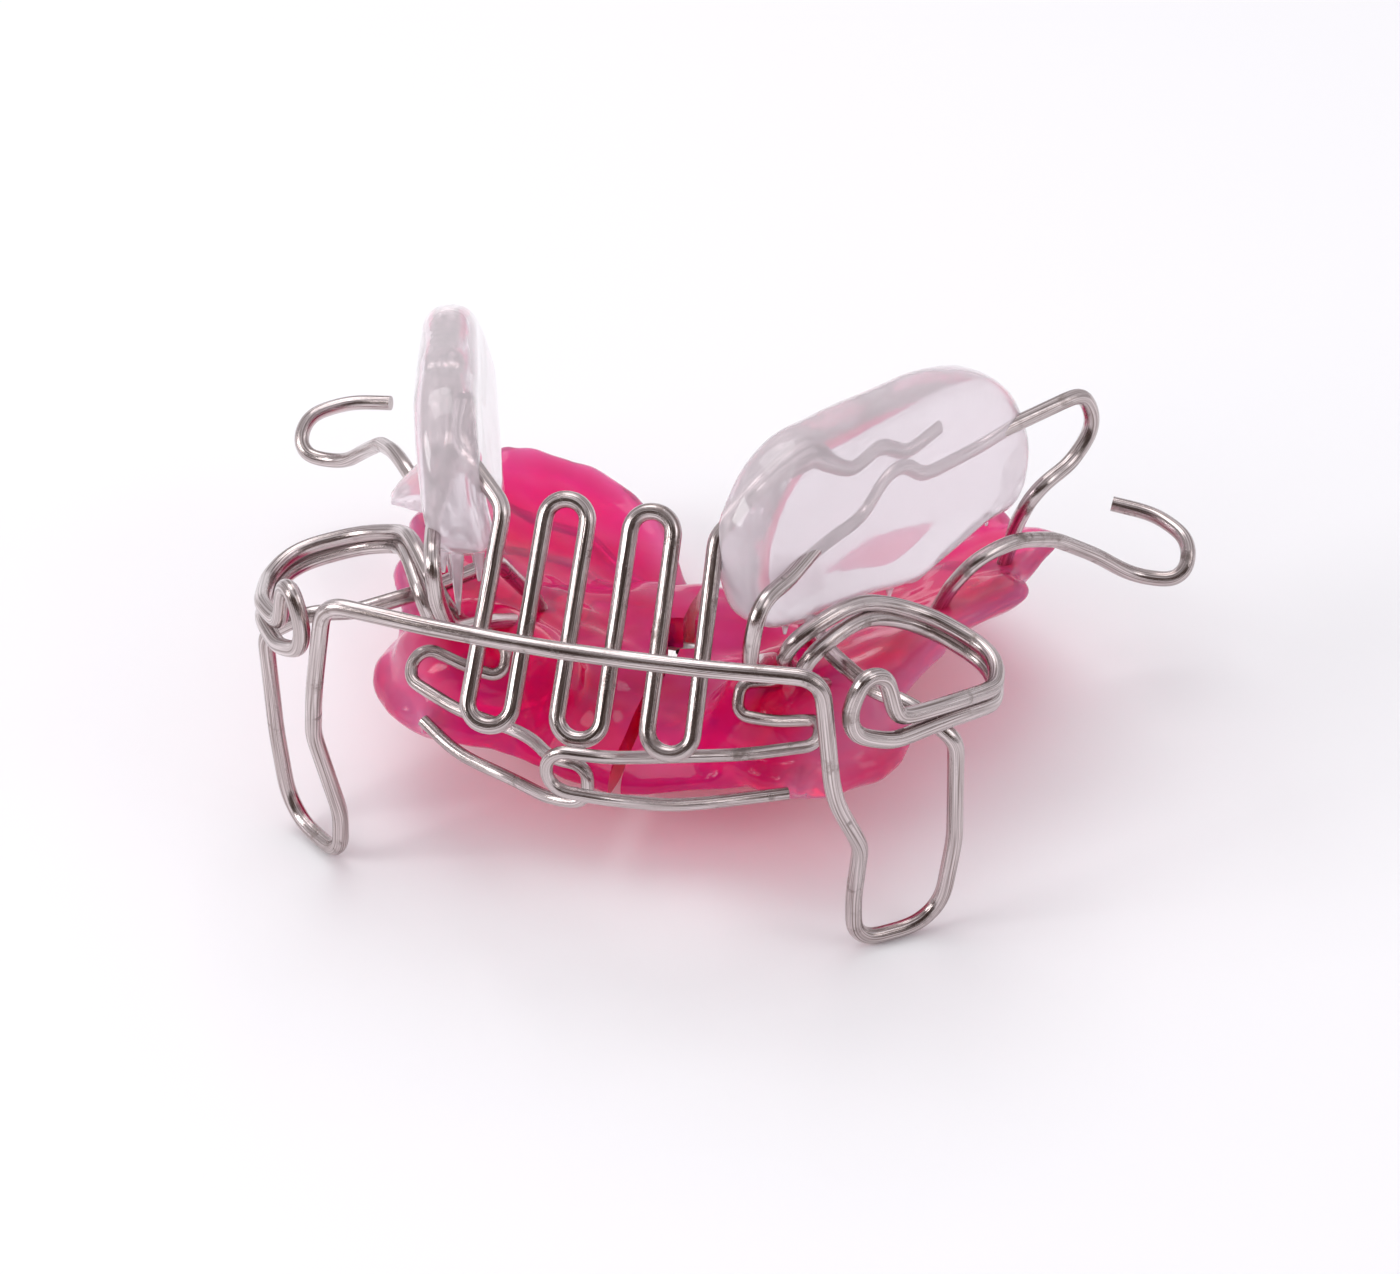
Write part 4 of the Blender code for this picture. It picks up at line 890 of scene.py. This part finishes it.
torn_edge = {
    1: ((-8.6, 17.0, 0.3, 0.55, 2.0), (-4.2, 15.6, -0.5, 0.6, 1.9), (0.2, 14.1, 0.5, 0.55, 1.7),
        (9.4, 14.4, 0.4, 0.55, 2.3)),
    -1: ((-11.4, 20.2, 0.9, 0.5, 2.6), (-10.2, 19.4, 0.4, 0.55, 5.2), (-9.2, 18.9, -0.8, 0.55, 3.0),
         (-8.0, 18.2, 0.8, 0.6, 3.2), (-6.6, 17.7, -0.5, 0.6, 2.8), (-5.2, 17.2, 0.7, 0.55, 2.8),
         (-3.6, 16.4, -0.2, 0.6, 2.6), (-2.0, 15.9, 1.0, 0.55, 2.3), (8.8, 14.8, 0.6, 0.6, 2.6)),
}
side_flap = [(0.8, 0.0, 18.0), (0.8, 3.0, 17.6), (0.8, -0.6, 13.4), (0.8, 3.2, 13.4),
             (4.9, 0.5, 13.3), (4.9, 1.7, 13.3), (4.3, 0.6, 14.3), (4.3, 1.5, 14.3)]
for sign, hand in ((1, "right"), (-1, "left")):
    place, angle, lean = wing_lines[sign]
    taller = 1 if sign > 0 else 1 + LEFT_WING_TALLER / (WING_TOP - WING_FOOT)
    flat = bpy.data.curves.new("wing_flat_" + hand, "CURVE")
    flat.dimensions = "2D"
    flat.fill_mode = "BOTH"
    flat.extrude = (WING_THICKNESS / 2 - WING_EDGE) * MM
    flat.bevel_depth = WING_EDGE * MM
    flat.bevel_resolution = 6
    flat.offset = -WING_EDGE * MM
    flat.resolution_u = 12
    spline = flat.splines.new("BEZIER")
    spline.bezier_points.add(len(outlines[sign]) - 1)
    for point, (y, z) in zip(spline.bezier_points, outlines[sign]):
        point.co = ((y - WING_FRONT) / math.cos(angle) * MM, (WING_FOOT + (z - WING_FOOT) * taller) * MM, 0)
        point.handle_left_type = "AUTO"
        point.handle_right_type = "AUTO"
    spline.use_cyclic_u = True
    blank = bpy.data.objects.new("wing_blank_" + hand, flat)
    bpy.context.scene.collection.objects.link(blank)
    bpy.context.view_layer.update()
    mesh = bpy.data.meshes.new_from_object(blank.evaluated_get(bpy.context.evaluated_depsgraph_get()))
    bpy.data.objects.remove(blank, do_unlink=True)
    along_wing = Vector((sign * math.sin(angle), math.cos(angle), 0))
    upright = Vector((0, 0, 1))
    turn = Matrix((along_wing, upright, along_wing.cross(upright))).transposed().to_4x4()
    mesh.transform(Matrix.Translation(Vector((sign * place, WING_FRONT, 0)) * MM) @ turn)
    wing = bpy.data.objects.new("side_wing_" + hand, mesh)
    bpy.context.scene.collection.objects.link(wing)
    cage = bmesh.new()
    cage.from_mesh(mesh)
    bmesh.ops.remove_doubles(cage, verts=cage.verts, dist=0.00001)
    bmesh.ops.recalc_face_normals(cage, faces=cage.faces)
    for vert in cage.verts:
        spot_3d = vert.co / MM
        middle = place + math.tan(angle) * (spot_3d.y - WING_FRONT)
        off = abs(spot_3d.x) - middle
        if sign < 0 and off < 0:
            thinning = min(max((spot_3d.y + 2.0) / 12.0, 0), 1)
            off *= 1 - 0.25 * eased_in(thinning)
            off *= 1 + 0.35 * max(0, 1 - abs(spot_3d.z - 17) / 6)
        vert.co.x = sign * (middle + off + lean * (spot_3d.z - WING_FOOT)) * MM
    for y, z, off, radii in drips[sign]:
        x = sign * in_wing(sign, y, z, off, 0)[0]
        ball_into(cage, (x, y, z), radii)
    if sign < 0:
        flap = []
        for off, y, z in side_flap:
            x = sign * in_wing(sign, y, z, off, 0)[0]
            flap.append(cage.verts.new(Vector((x, y, z)) * MM))
        bmesh.ops.convex_hull(cage, input=flap)
    cage.to_mesh(mesh)
    cage.free()
    flowed_skin(wing, 16)
    settled(wing)
    cage = bmesh.new()
    for y, z, off, girth, drop in torn_edge[sign]:
        fresh = bmesh.ops.create_cone(cage, cap_ends=True, segments=14, radius1=0.1 * MM, radius2=girth * MM,
                                      depth=drop * MM)["verts"]
        x = sign * in_wing(sign, y, z - drop / 2, off, 0)[0]
        bmesh.ops.translate(cage, verts=fresh, vec=Vector((x, y, z - drop / 2)) * MM)
    spur_mesh = bpy.data.meshes.new("torn_edge_" + hand)
    cage.to_mesh(spur_mesh)
    cage.free()
    spurs = bpy.data.objects.new("torn_edge_" + hand, spur_mesh)
    bpy.context.scene.collection.objects.link(spurs)
    joined = wing.modifiers.new("torn_edge", "BOOLEAN")
    joined.operation = "UNION"
    joined.solver = "MANIFOLD"
    joined.object = spurs
    settled(wing)
    bpy.data.objects.remove(spurs, do_unlink=True)
    wing.data.shade_smooth()
    wing.data.materials.clear()
    wing.data.materials.append(clear)
    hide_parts("wing_" + hand)
    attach(wing, hand + "_half")
